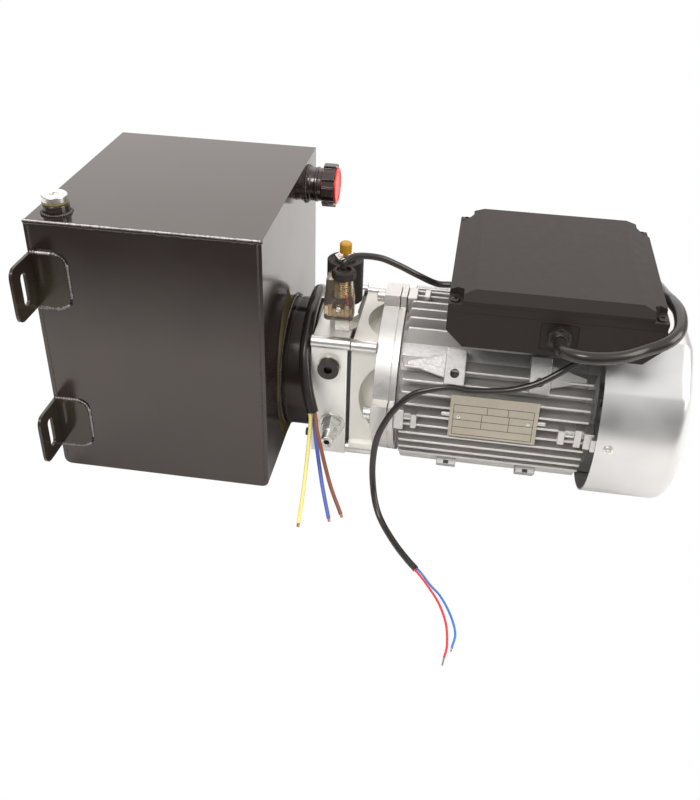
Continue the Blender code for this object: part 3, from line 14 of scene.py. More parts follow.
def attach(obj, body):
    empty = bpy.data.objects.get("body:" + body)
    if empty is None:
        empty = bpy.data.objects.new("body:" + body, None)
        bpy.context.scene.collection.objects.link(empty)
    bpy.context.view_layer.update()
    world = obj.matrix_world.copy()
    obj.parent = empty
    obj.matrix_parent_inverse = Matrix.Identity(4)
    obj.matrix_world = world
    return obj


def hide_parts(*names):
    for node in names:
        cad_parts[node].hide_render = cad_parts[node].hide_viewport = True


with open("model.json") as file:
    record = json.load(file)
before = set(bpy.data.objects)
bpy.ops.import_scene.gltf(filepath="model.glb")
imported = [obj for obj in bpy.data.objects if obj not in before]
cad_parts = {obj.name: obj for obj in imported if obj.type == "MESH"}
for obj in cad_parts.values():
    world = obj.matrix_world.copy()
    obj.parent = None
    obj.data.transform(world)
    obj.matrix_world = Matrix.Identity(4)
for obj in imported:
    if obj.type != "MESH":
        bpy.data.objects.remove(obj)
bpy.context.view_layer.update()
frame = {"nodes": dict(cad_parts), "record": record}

MM = 0.001
SCENE = bpy.context.scene
AXIS = (0, 0)
GAP = 0.3
SHARP = 35

# Tank
TANK_LENGTH = 220
TANK_FRONT = -127
TANK_TOP = 194
TANK_BOTTOM = -79
TANK_BEND = 7
COLLAR_RADIUS = 70
BRACKETS = {"foot_bracket_upper": 136, "foot_bracket_lower": -24}
BRACKET_THICK = 3
BRACKET_LEG = 36
BRACKET_HALF = 27.5
BRACKET_TIP = -168.3
SLOT_MIDDLE = -148.3
SLOT_HALF_WIDE = 5.25
SLOT_HALF_LONG = 16
WELD_START = 3
WELD_BEND = 25
DRAIN = (22, -102)
DRAIN_RADIUS = 13
FILLER = (81, 170)
NECK_RADIUS = 18.5

# Pump end
MANIFOLD_X = (252.1, 288.6)
MANIFOLD_FRONT = -63
BLOCK_UNDERSIDE = -60.5
BLOCK_DROP = 5
CORNER_LOW = -73
MANIFOLD_ROD = 62
ADAPTER_ROD = 60.4
ADAPTER_START = 292
PORT = (34.5, 270.5)
FITTING = (-36, 274.5)
BLEED = (-57, -54)
VALVE = (279, -26)
COIL_TOP = 137.5
CONNECTOR = (278.5, -54.3)
# Height, half width and half depth of the plug's sections
PLUG_SHAPE = ((88.2, 13, 9), (90, 14.2, 10), (110, 14.3, 10), (117, 13, 9.9), (131.8, 12.4, 9.6))
CABLE_NUT = (282.5, -57.2)
CABLE_NUT_TOP = 141.3

# Motor
FRAME_START = 341.2
FRAME_END = 526.2
FRAME_BORE = 66.5
FRAME_RADIUS = 78
FIN_RADIUS = 92
FIN_THICK = 2.6
FIN_PITCH = 11.5
FIN_SINK = 4
FIN_END = 535
LUG_ROOT = 74
QUARTERS = (0, 90, 180, 270)
OPEN_QUARTERS = (0, 180, 270)
TIE_REACH = 86
BOSS_X = (397.2, 479.2)
BOSS_HALF = 10
BOSS_ROOT = 70
# Angle and half width of each boss, and the angle of its hole
BOSSES = ((37, 18, 33), (143, 18, 147), (227, 10.5, 227), (313, 10.5, 313))
COWL_START = 538.8
COWL_END = 621.8
COWL_RADIUS = 106
COWL_WALL = 1.6
COWL_FLAT = 90
COWL_SHOULDER = 13
AIR_SLOT_PITCH = 13
AIR_SLOT_HALF = 3
AIR_SLOT_REACH = 68
COWL_SCREW_X = 550.8
PLATE_X = (396, 482)
PLATE_FACE = -93.1
PLATE_Z = (-13, 36)
PLATE_MIDDLE = 11
RULE_HALF = 0.28

# Terminal box
BOX_X = (385, 582)
BOX_FRONT = -97
BOX_BACK = 108
BOX_BOTTOM = 92.8
LID_SEAT = 136.4
LID_RIM = 140.1
LID_TOP = 150.1
LID_POCKET = [(-2, -2), (13.5, -2), (13.5, 14), (7, 22), (-2, 22)]
GLAND = (488, 114.8)
GLAND_MOUTH = -111.3

# Leads, and the surface that the pack lies on
CABLE_RADIUS = 6
CORE_RADIUS = 2
CORE_BARE = 3.5
THIN_RADIUS = 3.2
THIN_CORE_RADIUS = 1.1
FLOOR_SLOPE = 27 / COWL_START

# Camera, and the ways to its right, up and back
CAMERA_PLACE = (0.4059, -0.8601, 0.5355)
CAMERA_AXES = ((0.98724, 0.15722, 0.02542), (-0.10840, 0.54645, 0.83044), (0.1167, -0.8226, 0.5565))
LENS = 42.19
SENSOR = 36
FLOOR_FADE = (-0.62, -0.36)

# Spread of a weld's ripples
BEAD_SCALE = (0.72, 1.12)
BEAD_SEED = 5

AXES = {
    "X": Matrix(((0, 0, 1, 0), (1, 0, 0, 0), (0, 1, 0, 0), (0, 0, 0, 1))),
    "Y": Matrix(((0, 1, 0, 0), (0, 0, 1, 0), (1, 0, 0, 0), (0, 0, 0, 1))),
    "Z": Matrix.Identity(4),
}


def feed(tree, socket, value):
    """Link a socket to another, or give it a constant."""
    if isinstance(value, bpy.types.NodeSocket):
        tree.links.new(value, socket)
    elif socket.type == "RGBA":
        socket.default_value = (*value, 1)
    else:
        socket.default_value = value


def add_node(tree, kind, inputs, **settings):
    """Outputs of a new node, with its settings made and its inputs fed."""
    item = tree.nodes.new(kind)
    for key, value in settings.items():
        setattr(item, key, value)
    for key, value in inputs.items():
        feed(tree, item.inputs[key], value)
    return item.outputs


class Finish:
    """One procedural material, put together node by node on Object coordinates."""

    def __init__(self, name, **constants):
        self.material = bpy.data.materials.new(name)
        self.material.use_nodes = True
        self.tree = self.material.node_tree
        self.shader = self.tree.nodes["Principled BSDF"]
        self.place = self.tree.nodes.new("ShaderNodeTexCoord").outputs["Object"]
        self.set(**constants)

    def set(self, **values):
        """Feed the shader; words in a socket's name are joined by underscores."""
        for key, value in values.items():
            feed(self.tree, self.shader.inputs[key.replace("_", " ")], value)

    def node(self, kind, inputs, **settings):
        return add_node(self.tree, kind, inputs, **settings)

    def noise(self, scale, stretch=(1, 1, 1), detail=3):
        place = self.node("ShaderNodeMapping", {"Vector": self.place, "Scale": stretch})[0]
        inputs = {"Vector": place, "Scale": scale, "Detail": detail}
        return self.node("ShaderNodeTexNoise", inputs)[0]

    def ranged(self, value, low, high, start=0.3, end=0.7):
        inputs = {"Value": value, "From Min": start, "From Max": end, "To Min": low, "To Max": high}
        return self.node("ShaderNodeMapRange", inputs)[0]

    def mixed(self, share, first, second):
        return self.node("ShaderNodeMix", {0: share, 6: first, 7: second}, data_type="RGBA")[2]

    def clouded(self, scale, first, second, detail=3):
        """Two colours in soft patches."""
        return self.mixed(self.ranged(self.noise(scale, detail=detail), 0, 1), first, second)

    def bump(self, height, strength, depth):
        inputs = {"Height": height, "Strength": strength, "Distance": depth * MM}
        self.set(Normal=self.node("ShaderNodeBump", inputs)[0])


PAINT = (0.018, 0.0115, 0.0095)
PAINT_WORN = (0.024, 0.0165, 0.0140)
PAINT_IOR = 1.75
WARM = (1, 0.92, 0.885)
WHITE = (1, 1, 1)


def paint(name, gloss=PAINT_IOR, worn=PAINT_WORN):
    """Black gloss paint with a faint orange peel and dusty patches."""
    finish = Finish(name, IOR=gloss, Specular_Tint=WARM)
    finish.set(Base_Color=finish.clouded(14, PAINT, worn))
    finish.set(Roughness=finish.ranged(finish.noise(12, detail=6), low=0.08, high=0.22))
    finish.bump(finish.noise(140), strength=0.05, depth=0.2)
    return finish


def metal(name, colour, roughness, grain, stretch=(1, 1, 1), depth=0.03, stain=0.10, shine=1):
    """Bare metal: cloudy tone, uneven polish and a grain that the stretch turns into streaks."""
    finish = Finish(name, Metallic=shine)
    dull = tuple(channel * (1 - stain) for channel in colour)
    finish.set(Base_Color=finish.clouded(22, colour, dull, detail=5))
    streak = finish.noise(grain, stretch, detail=4)
    finish.set(Roughness=finish.ranged(streak, roughness * 0.8, roughness * 1.25))
    finish.bump(streak, strength=0.25, depth=depth)
    return finish


def plastic(name, colour, roughness, grain=900, depth=0.03, tone=0.25, shine=0.5, tint=WHITE):
    """Moulded plastic or rubber with a fine skin and slightly uneven colour."""
    finish = Finish(name, Specular_IOR_Level=shine, Specular_Tint=tint)
    pale = tuple(channel * (1 + tone) for channel in colour)
    finish.set(Base_Color=finish.clouded(35, colour, pale, detail=4))
    finish.set(Roughness=finish.ranged(finish.noise(120), roughness * 0.96, roughness * 1.04))
    finish.bump(finish.noise(grain), strength=0.2, depth=depth)
    return finish


def core_plastic(name, colour, tone=0.10):
    """Smooth insulation of one core."""
    return plastic(name, colour, 0.42, 600, 0.02, tone)


def smoked_plastic():
    """See-through brown plastic of the valve's plug."""
    finish = Finish("smoked plastic", IOR=1.5, Transmission_Weight=0.92)
    finish.set(Base_Color=finish.clouded(40, (0.60, 0.45, 0.29), (0.48, 0.36, 0.23)))
    finish.set(Roughness=finish.ranged(finish.noise(60), low=0.02, high=0.05))
    finish.bump(finish.noise(90), strength=0.04, depth=0.2)
    return finish


FINISHES = {
    "gloss_black": paint("black gloss paint"),
    "thin_black": paint("thin black paint", 1.42),
    "olive_black": paint("black paint thin over primer", 1.6, (0.034, 0.027, 0.015)),
    "milled": metal("milled aluminium", (0.90, 0.88, 0.81), 0.48, 60, (1, 14, 1), 0.008, shine=0.12),
    # The manifold's aluminium below is shinier than the milled one, and its paler colour is painted light.
    "paled_milled": metal("milled aluminium paled as painted light", (1, 0.985, 0.94), 0.34, 60, (1, 14, 1), 0.008, 0.04, 0.45),
    "rod": metal("drawn aluminium", (0.84, 0.82, 0.80), 0.30, 40, (0.6, 16, 16), 0.01),
    "cast": metal("die-cast aluminium", (0.74, 0.72, 0.695), 0.46, 420),
    "fin": metal("cast fins", (0.72, 0.70, 0.68), 0.50, 420, shine=0.85),
    # The next one is a darker copy of the cast fins' metal: painted shade for the gaps among the fins, on the
    # barrel, foot bosses and gussets.
    "shaded_cast": metal("cast aluminium darkened as painted shade", (0.56, 0.545, 0.53), 0.52, 420, shine=0.85),
    # The next one is grey and half metallic where the welds are black paint: a painted highlight along the
    # weld runs.
    "weld": metal("black weld greyed as painted highlight", (0.25, 0.235, 0.23), 0.13, 200, depth=0.02, shine=0.5),
    # The next one is pale metal for thin runs that are painted glints on the welds.
    "painted_glint_weld": metal("pale weld as painted glint", (0.74, 0.71, 0.69), 0.30, 200, depth=0.02),
    "brushed": metal("brushed aluminium sheet", (0.75, 0.74, 0.73), 0.36, 24, depth=0, stain=0.06),
    "zinc_steel": metal("zinc plate", (0.84, 0.84, 0.80), 0.30, 300, depth=0.01),
    "nickel": metal("nickel plate", (0.86, 0.79, 0.64), 0.28, 300, depth=0.01),
    "steel": metal("turned steel", (0.52, 0.52, 0.51), 0.34, 90, (8, 1, 1), 0.01),
    "dark_steel": metal("blackened steel", (0.075, 0.07, 0.066), 0.36, 200, depth=0.02),
    "copper_winding": metal("copper wire", (0.80, 0.40, 0.24), 0.32, 500),
    "plate": metal("nameplate sheet", (0.52, 0.475, 0.385), 0.42, 120, (12, 1, 1), 0.008),
    "primer": plastic("dull primer", (0.112, 0.092, 0.040), 0.9, 60, 0.05, 0.5, shine=0.05),
    # This black serves the plate's print, and also painted shade in the foot bosses' holes.
    "print_and_shade_black": plastic("printing black and painted shade", (0.025, 0.022, 0.020), 0.5),
    "black_plastic": plastic(
        "moulded black plastic", (0.030, 0.0245, 0.022), 0.50, 1100, 0.02, 0.03, 0.21, WARM
    ),
    "black_rubber": plastic("cable sheath", (0.020, 0.018, 0.017), 0.22, 300, 0.015, 0.2, 0.6, WARM),
    "olive_seal": plastic("bonded seal", (0.20, 0.16, 0.05), 0.45),
    "red_plastic": plastic("red plastic", (0.72, 0.035, 0.025), 0.34),
    "cream_plastic": plastic("cream plastic", (0.70, 0.66, 0.55), 0.48),
    "orange_plastic": plastic("orange plastic", (0.40, 0.20, 0.008), 0.38),
    "smoked_plastic": smoked_plastic(),
    "yellow_core": core_plastic("yellow core", (0.85, 0.74, 0.24), 0.06),
    "blue_core": core_plastic("blue core", (0.078, 0.120, 0.46)),
    "sky_core": core_plastic("pale blue core", (0.055, 0.20, 0.62)),
    "brown_core": core_plastic("brown core", (0.24, 0.075, 0.035)),
    "red_core": core_plastic("red core", (0.70, 0.045, 0.055)),
}


def colour_cad_nodes():
    """Every CAD node takes the finish of its record slot."""
    slots = {entry["node"]: entry["material_slot"] for entry in frame["record"]["subparts"]}
    names = {"bright_aluminium": "milled", "cast_aluminium": "cast"}
    for name, node in frame["nodes"].items():
        finish = names.get(slots[name], slots[name])
        node.data.materials.clear()
        node.data.materials.append(FINISHES[finish].material)


def added(name, data):
    """A new object in the scene."""
    item = bpy.data.objects.new(name, data)
    SCENE.collection.objects.link(item)
    return item


def piece_from(name, builder, finish, sharp=SHARP):
    """An object in metres from a mesh in millimetres."""
    bmesh.ops.scale(builder, vec=(MM, MM, MM), verts=builder.verts)
    bmesh.ops.recalc_face_normals(builder, faces=builder.faces)
    mesh = bpy.data.meshes.new(name)
    builder.to_mesh(mesh)
    builder.free()
    mesh.shade_smooth()
    mesh.set_sharp_from_angle(angle=radians(sharp))
    mesh.materials.append(FINISHES[finish].material)
    return added(name, mesh)


def prism(outline, low, high, axis, builder=None):
    """Extrude an outline: (y, z) along X, (z, x) along Y, (x, y) along Z."""
    return lofted([(low, outline), (high, outline)], axis, builder)


def lofted(sections, axis, builder=None):
    """Skin through outlines of equal count, each at its own place along the axis."""
    builder = builder or bmesh.new()
    turn = AXES[axis]
    rings = []
    for along, outline in sections:
        rings.append([builder.verts.new(turn @ Vector((a, b, along))) for a, b in outline])
    return skinned(builder, rings)


def skinned(builder, rings):
    """Close rings of equal count with faces, from the first to the last."""
    builder.faces.new(list(reversed(rings[0])))
    builder.faces.new(rings[-1])
    for first, second in zip(rings, rings[1:]):
        for i in range(len(first)):
            j = (i + 1) % len(first)
            builder.faces.new((first[i], first[j], second[j], second[i]))
    return builder


def bar(low, high, radius):
    """Profile of a plain round bar."""
    return [(low, 0), (low, radius), (high, radius), (high, 0)]


def tube(low, high, inner, outer):
    """Profile of a plain tube."""
    return [(low, inner), (low, outer), (high, outer), (high, inner)]


def turned(profile, axis, centre=AXIS, sides=64, builder=None):
    """Turn a closed profile of (along, radius) about an axis through centre."""
    builder = builder or bmesh.new()
    turn = AXES[axis]
    rings = []
    for along, radius in profile:
        around = ring_of(sides, radius, centre)[:1 if radius == 0 else sides]
        rings.append([builder.verts.new(turn @ Vector((a, b, along))) for a, b in around])
    for k, first in enumerate(rings):
        second = rings[(k + 1) % len(rings)]
        if len(first) == len(second) == 1:
            continue
        for i in range(sides):
            j = (i + 1) % sides
            corners = [first[i % len(first)], first[j % len(first)]]
            corners += [second[j % len(second)], second[i % len(second)]]
            builder.faces.new(list(dict.fromkeys(corners)))
    return builder


def rounded(points, radius, steps=4):
    """Round the corners of an outline; radius may be one value or one a corner."""
    radii = radius if isinstance(radius, (list, tuple)) else [radius] * len(points)
    result = []
    for i, point in enumerate(points):
        here = Vector(point)
        before, after = Vector(points[i - 1]), Vector(points[(i + 1) % len(points)])
        if radii[i] == 0:
            result.append(tuple(here))
            continue
        way_in, way_out = before - here, after - here
        reach = min(radii[i], way_in.length / 2, way_out.length / 2)
        start, end = here + way_in.normalized() * reach, here + way_out.normalized() * reach
        for k in range(steps + 1):
            t = k / steps
            result.append(tuple(start * (1 - t) ** 2 + here * 2 * t * (1 - t) + end * t ** 2))
    return result


def rectangle(low_a, high_a, low_b, high_b):
    """Corners in order, from the lowest of both."""
    return [(low_a, low_b), (high_a, low_b), (high_a, high_b), (low_a, high_b)]


def ring_of(sides, radius, centre=AXIS, turn=0):
    """Even points round a circle."""
    points = []
    for i in range(sides):
        angle = radians(turn) + 2 * pi * i / sides
        points.append((centre[0] + radius * cos(angle), centre[1] + radius * sin(angle)))
    return points


def baked(piece):
    """Put the result of a piece's modifiers in its mesh and take them off."""
    graph = bpy.context.evaluated_depsgraph_get()
    mesh = bpy.data.meshes.new_from_object(piece.evaluated_get(graph))
    piece.modifiers.clear()
    piece.data = mesh
    return piece


def carve(piece, builder, operation="DIFFERENCE"):
    """Cut a mesh in millimetres out of a piece, or join it on."""
    tool = piece_from("tool", builder, "steel")
    modifier = piece.modifiers.new("carve", "BOOLEAN")
    modifier.operation = operation
    modifier.object = tool
    modifier.solver = "EXACT"
    baked(piece)
    bpy.data.objects.remove(tool, do_unlink=True)
    return piece


def ease_edges(piece, width, segments=2, angle=32):
    """Round every sharp edge of a piece and keep its flat faces flat."""
    bevel = piece.modifiers.new("edges", "BEVEL")
    bevel.width = width * MM
    bevel.segments = segments
    bevel.limit_method = "ANGLE"
    bevel.angle_limit = radians(angle)
    piece.data.shade_smooth()
    normals = piece.modifiers.new("normals", "WEIGHTED_NORMAL")
    normals.keep_sharp = True
    return baked(piece)


def copy_of(node, finish):
    """A merged copy of a CAD node, ready to be shaped."""
    builder = bmesh.new()
    builder.from_mesh(frame["nodes"][node].data)
    bmesh.ops.remove_doubles(builder, verts=builder.verts, dist=0.02 * MM)
    flat = radians(0.5)
    bmesh.ops.dissolve_limit(builder, angle_limit=flat, verts=builder.verts, edges=builder.edges)
    bmesh.ops.scale(builder, vec=(1 / MM,) * 3, verts=builder.verts)
    piece = piece_from(node + "_skin", builder, finish)
    if "custom_normal" in piece.data.attributes:
        piece.data.attributes.remove(piece.data.attributes["custom_normal"])
    return piece


def settle(piece, slot, *nodes, body="pack"):
    """Hand a finished piece to the frame."""
    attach(piece, body)
    if nodes:
        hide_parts(*nodes)
    return piece


def eased_copy(node, width, finish, slot=None, body="pack"):
    """A copy of a CAD node with its edges rounded, in the node's place."""
    return settle(ease_edges(copy_of(node, finish), width), slot or finish, node, body=body)


def eased_piece(name, builder, finish, width, slot, *nodes, segments=2, sharp=SHARP):
    """A piece made from a mesh, with its edges rounded."""
    return settle(ease_edges(piece_from(name, builder, finish, sharp), width, segments), slot, *nodes)


def turned_piece(name, profile, axis, centre, finish, *nodes, slot=None, soft=0.8, sides=64):
    """A turned piece with its profile's corners rounded."""
    outline = rounded(profile, soft)
    outline = [(along, 0 if radius < 1e-6 else radius) for along, radius in outline]
    builder = turned(outline, axis, centre, sides)
    return settle(piece_from(name, builder, finish), slot or finish, *nodes)


def tree_with(name, sizes):
    """A Geometry Nodes tree with named sizes, and the sockets of what comes into it."""
    tree = bpy.data.node_groups.new(name, "GeometryNodeTree")
    tree.interface.new_socket("Geometry", in_out="INPUT", socket_type="NodeSocketGeometry")
    for label, value in sizes.items():
        kind = "NodeSocketObject" if isinstance(value, bpy.types.Object) else "NodeSocketFloat"
        tree.interface.new_socket(label, in_out="INPUT", socket_type=kind)
    tree.interface.new_socket("Geometry", in_out="OUTPUT", socket_type="NodeSocketGeometry")
    return tree, tree.nodes.new("NodeGroupInput").outputs


def spread(tree, finish, inputs):
    """Put a copy on every point and bring them out of the tree as one coloured mesh."""
    copies = add_node(tree, "GeometryNodeInstanceOnPoints", inputs)[0]
    solid = add_node(tree, "GeometryNodeRealizeInstances", {0: copies})[0]
    skin = {0: solid, "Material": FINISHES[finish].material}
    add_node(tree, "NodeGroupOutput", {0: add_node(tree, "GeometryNodeSetMaterial", skin)[0]})


def grown(name, points, edges, tree, sizes):
    """A plain mesh grown by a tree from points and lines in millimetres."""
    mesh = bpy.data.meshes.new(name)
    mesh.from_pydata([tuple(Vector(p) * MM) for p in points], edges, [])
    piece = added(name, mesh)
    modifier = piece.modifiers.new("grow", "NODES")
    modifier.node_group = tree
    for item in tree.interface.items_tree:
        if item.name in sizes:
            modifier[item.identifier] = sizes[item.name]
    baked(piece)
    piece.data.shade_smooth()
    return piece


def weld_beads(name, lines, radius, spacing, finish="gloss_black"):
    """Overlapping ripples along lines, as a run of weld has."""
    sizes = {"Spacing": spacing * MM, "Radius": radius * MM}
    tree, given = tree_with("weld run", sizes)
    line = add_node(tree, "GeometryNodeMeshToCurve", {0: given["Geometry"]})[0]
    steps = {0: line, "Length": given["Spacing"]}
    ball = {"Radius": given["Radius"], "Subdivisions": 2}
    uneven = {2: BEAD_SCALE[0], 3: BEAD_SCALE[1], "Seed": BEAD_SEED}
    spread(tree, finish, {
        "Points": add_node(tree, "GeometryNodeResampleCurve", steps, mode="LENGTH")[0],
        "Instance": add_node(tree, "GeometryNodeMeshIcoSphere", ball)[0],
        "Scale": add_node(tree, "FunctionNodeRandomValue", uneven)[1],
    })
    points, edges = [], []
    for run in lines:
        start = len(points)
        points += run
        edges += [(start + i, start + i + 1) for i in range(len(run) - 1)]
    return settle(grown(name, points, edges, tree, sizes), "gloss_black")


def fasteners(name, head, places, turn, finish="zinc_steel", slot="zinc_steel"):
    """The same head at each place, turned to stand on its face; the head itself is used up."""
    tree, given = tree_with("fastener set", {"Head": head})
    source = add_node(tree, "GeometryNodeObjectInfo", {"Object": given["Head"]})
    angles = [radians(angle) for angle in turn]
    inputs = {"Points": given["Geometry"], "Instance": source["Geometry"], "Rotation": angles}
    spread(tree, finish, inputs)
    piece = grown(name, places, [], tree, {"Head": head})
    piece.data.set_sharp_from_angle(angle=radians(SHARP))
    bpy.data.objects.remove(head, do_unlink=True)
    return settle(piece, slot)


def cross_screw(radius, tall):
    """Pan head with a cross recess, standing on the origin along Z."""
    profile = [(0, 0), (0, radius), (tall * 0.45, radius), (tall * 0.85, radius * 0.72), (tall, 0)]
    head = piece_from("screw_head", turned(profile, "Z", AXIS, 28), "zinc_steel")
    long, wide = radius * 0.6, radius * 0.16
    for half_x, half_y in ((long, wide), (wide, long)):
        recess = rectangle(-half_x, half_x, -half_y, half_y)
        carve(head, prism(recess, tall * 0.35, tall * 2, "Z"))
    return head


def circle_line(centre, radius, along, axis, steps=72):
    """A closed line round an axis."""
    turn = AXES[axis]
    ring = ring_of(steps, radius, centre)
    return [tuple(turn @ Vector((a, b, along))) for a, b in ring + ring[:1]]


def tank():
    """Folded shell with welded end plates."""
    shell = copy_of("tank_shell", "gloss_black")
    settle(ease_edges(shell, 2.6, 4, 60), "gloss_black", "tank_shell")
    left, right, top, low = 1.5, TANK_LENGTH - 1.5, TANK_TOP - 1, TANK_BOTTOM + TANK_BEND
    edge = TANK_FRONT + 1
    # Name, place across and up, bead radius, spacing and finish of the runs along the top edges
    edges = (
        ("front_weld", edge, top, 2.7, 1.7, "gloss_black"),
        # The thin pale run on top of the front bead is a painted glint.
        ("front_weld_ridge", edge - 1.5, top + 1.8, 0.95, 1.3, "painted_glint_weld"),
        ("back_weld", -edge, top - 0.6, 1.7, 2.4, "gloss_black"),
    )
    for name, y, z, radius, spacing, finish in edges:
        weld_beads(name, [[(left, y, z), (right, y, z)]], radius, spacing, finish)
    sides = []
    for face in (TANK_FRONT + 0.5, -TANK_FRONT - 0.5):
        for x in (4, TANK_LENGTH - 4):
            sides.append([(x, face, top - 2), (x, face, low)])
    weld_beads("plate_seams", sides, radius=1.1, spacing=0.9)
    runs = [circle_line(AXIS, COLLAR_RADIUS, TANK_LENGTH + 0.2, "X", 120)]
    weld_beads("collar_weld", runs, radius=2.4, spacing=2.6)
    runs = [circle_line(FILLER, NECK_RADIUS, TANK_LENGTH + 0.4, "X")]
    runs.append(circle_line(DRAIN, DRAIN_RADIUS, TANK_TOP + 0.6, "Z"))
    weld_beads("neck_welds", runs, radius=2, spacing=2.2)


# Outline of the unpainted patch round the collar: (y, z)
MASKED_PATCH = [
    (-22.9, 98.7), (-52.3, 81), (-67.5, 60.7), (-76, 34), (-80, 0), (-74.9, -35.9), (-47.6, -70.9), (-5, -76),
    (36, -68), (62, -42), (73, -10), (73, 14), (60, 42), (36, 63), (8, 73), (-8, 78),
]


def collar():
    """Turned collar for the pump, on a patch of the tank that was masked from the paint."""
    profile = [(220.3, 60), (220.3, 70), (226, 70), (226.6, 69.2), (251.8, 69.2), (251.8, 60)]
    turned_piece("pump_collar", profile, "X", AXIS, "thin_black", "tank_collar",
                 slot="gloss_black", sides=128)
    skim = prism(MASKED_PATCH, TANK_LENGTH + 0.02, TANK_LENGTH + 0.25, "X")
    patch = piece_from("collar_primer", skim, "primer")
    carve(patch, prism(ring_of(96, COLLAR_RADIUS - 2), TANK_LENGTH - 2, TANK_LENGTH + 2, "X"))
    settle(patch, "olive_seal")


def brackets():
    """Angle feet with rounded legs, a long slot and a weld run round the leg on the tank."""
    back = TANK_FRONT - GAP
    face = back - BRACKET_THICK
    edge = face + 1
    slot_y = (SLOT_MIDDLE - SLOT_HALF_WIDE, SLOT_MIDDLE + SLOT_HALF_WIDE)
    runs = []
    for node, height in BRACKETS.items():
        low, high = height - BRACKET_HALF, height + BRACKET_HALF
        leg = rounded(rectangle(low, high, 0, BRACKET_LEG), [0, 0, 13, 13], 6)
        foot = piece_from(node + "_skin", prism(leg, face, back, "Y"), "olive_black")
        outline = rounded(rectangle(BRACKET_TIP, back, low, high), [11, 0, 0, 11], 6)
        carve(foot, prism(outline, 0, BRACKET_THICK, "X"), "UNION")
        slot = rectangle(*slot_y, height - SLOT_HALF_LONG, height + SLOT_HALF_LONG)
        carve(foot, prism(rounded(slot, SLOT_HALF_WIDE, 8), -1, BRACKET_THICK + 1, "X"))
        settle(ease_edges(foot, 0.8, 3), "gloss_black", node)
        bend = [(WELD_BEND, back, high), (32, back, high - 4), (BRACKET_LEG, back, high - 11)]
        runs.append([(WELD_START, back, high)] + bend)
        runs.append([(BRACKET_LEG, back, high - 14), (BRACKET_LEG, back, low + 12)])
        bend = [(BRACKET_LEG - 3, edge, low + 4), (WELD_BEND, edge, low)]
        runs.append(bend + [(WELD_START, edge, low)])
    # The leg welds take the grey weld finish, a painted highlight along the legs' outlines.
    weld_beads("bracket_welds", runs, 2, 2.6, "weld")
    # A short pale run on the upper leg's weld is a painted glint.
    y, z = back - 1.4, BRACKETS["foot_bracket_upper"] + BRACKET_HALF + 0.9
    weld_beads("bracket_bare_weld", [[(9, y, z), (21, y, z)]], 1.7, 2.2, "painted_glint_weld")


def drain():
    """Welded boss, bonded seal and plug with a hex socket."""
    profile = [(194.3, 8.6), (194.3, DRAIN_RADIUS), (203.3, 12.4), (203.3, 8.6)]
    turned_piece("plug_boss", profile, "Z", DRAIN, "gloss_black", "drain_boss", soft=1.2)
    seal = tube(203.6, 205.6, 8.6, 12.2)
    turned_piece("plug_seal", seal, "Z", DRAIN, "olive_seal", "drain_seal", soft=0.5)
    profile = [(205.9, 0), (205.9, 11.9), (210.9, 11.9), (211.9, 10.9), (211.9, 0)]
    head = piece_from("plug_head", turned(profile, "Z", DRAIN, 72), "zinc_steel")
    carve(head, prism(ring_of(6, 4.6, DRAIN), 208.4, 213, "Z"))
    settle(ease_edges(head, 0.3), "zinc_steel", "drain_plug")


def filler():
    """Ringed neck, red seal and lugged cap with its red face."""
    profile = [(220.3, 14), (220.3, NECK_RADIUS), (224.5, NECK_RADIUS), (225.3, 17.5), (229.4, 17.5)]
    profile += [(230, 18.3), (232.2, 18.3), (232.8, 17.4), (236.7, 17.4), (236.7, 14)]
    turned_piece("oil_neck", profile, "X", FILLER, "gloss_black", "filler_neck", soft=0.5)
    seal, raised = tube(236.8, 237.6, 13, 16.4), (FILLER[0], FILLER[1] + 1.4)
    turned_piece("neck_seal", seal, "X", raised, "red_plastic", "filler_seal", soft=0.4)
    cap = ease_edges(copy_of("filler_cap", "gloss_black"), 1, 3)
    settle(cap, "black_plastic", "filler_cap", body="cap")
    profile = [(251.2, 0), (251.2, 19), (252.4, 19), (252.9, 18.4), (252.9, 16)]
    profile += [(252.3, 15.4), (252.3, 0)]
    disc = piece_from("cap_face", turned(profile, "X", FILLER, 72), "red_plastic")
    settle(disc, "red_plastic", "cap_disc", body="cap")


def deepened(node, finish):
    """A copy of a milled block with its underside let down."""
    block = copy_of(node, finish)
    for vertex in block.data.vertices:
        if vertex.co.z < BLOCK_UNDERSIDE * MM:
            vertex.co.z -= BLOCK_DROP * MM
    return block


def corner_rods():
    """Round rods on the corners of both blocks; the manifold has none low down in front."""
    rods = bmesh.new()
    for y in (1, -1):
        for z in (1, -1):
            drop = BLOCK_DROP if z < 0 else 0
            start = ADAPTER_START
            if (y, z) == (-1, -1):
                start = MANIFOLD_X[1] + GAP
            else:
                profile = [(252, 0), (252, 5.6), (252.5, 6.3), (291.4, 6.3), (291.9, 5.7), (291.9, 0)]
                turned(profile, "X", (MANIFOLD_ROD * y, MANIFOLD_ROD * z - drop), 40, rods)
            profile = [(start, 0), (start, 5.4), (start + 0.5, 6.1), (317.6, 6.1), (318, 5.6), (318, 0)]
            turned(profile, "X", (ADAPTER_ROD * y, ADAPTER_ROD * z - drop), 40, rods)
    settle(piece_from("corner_rods", rods, "rod", 25), "bright_aluminium")


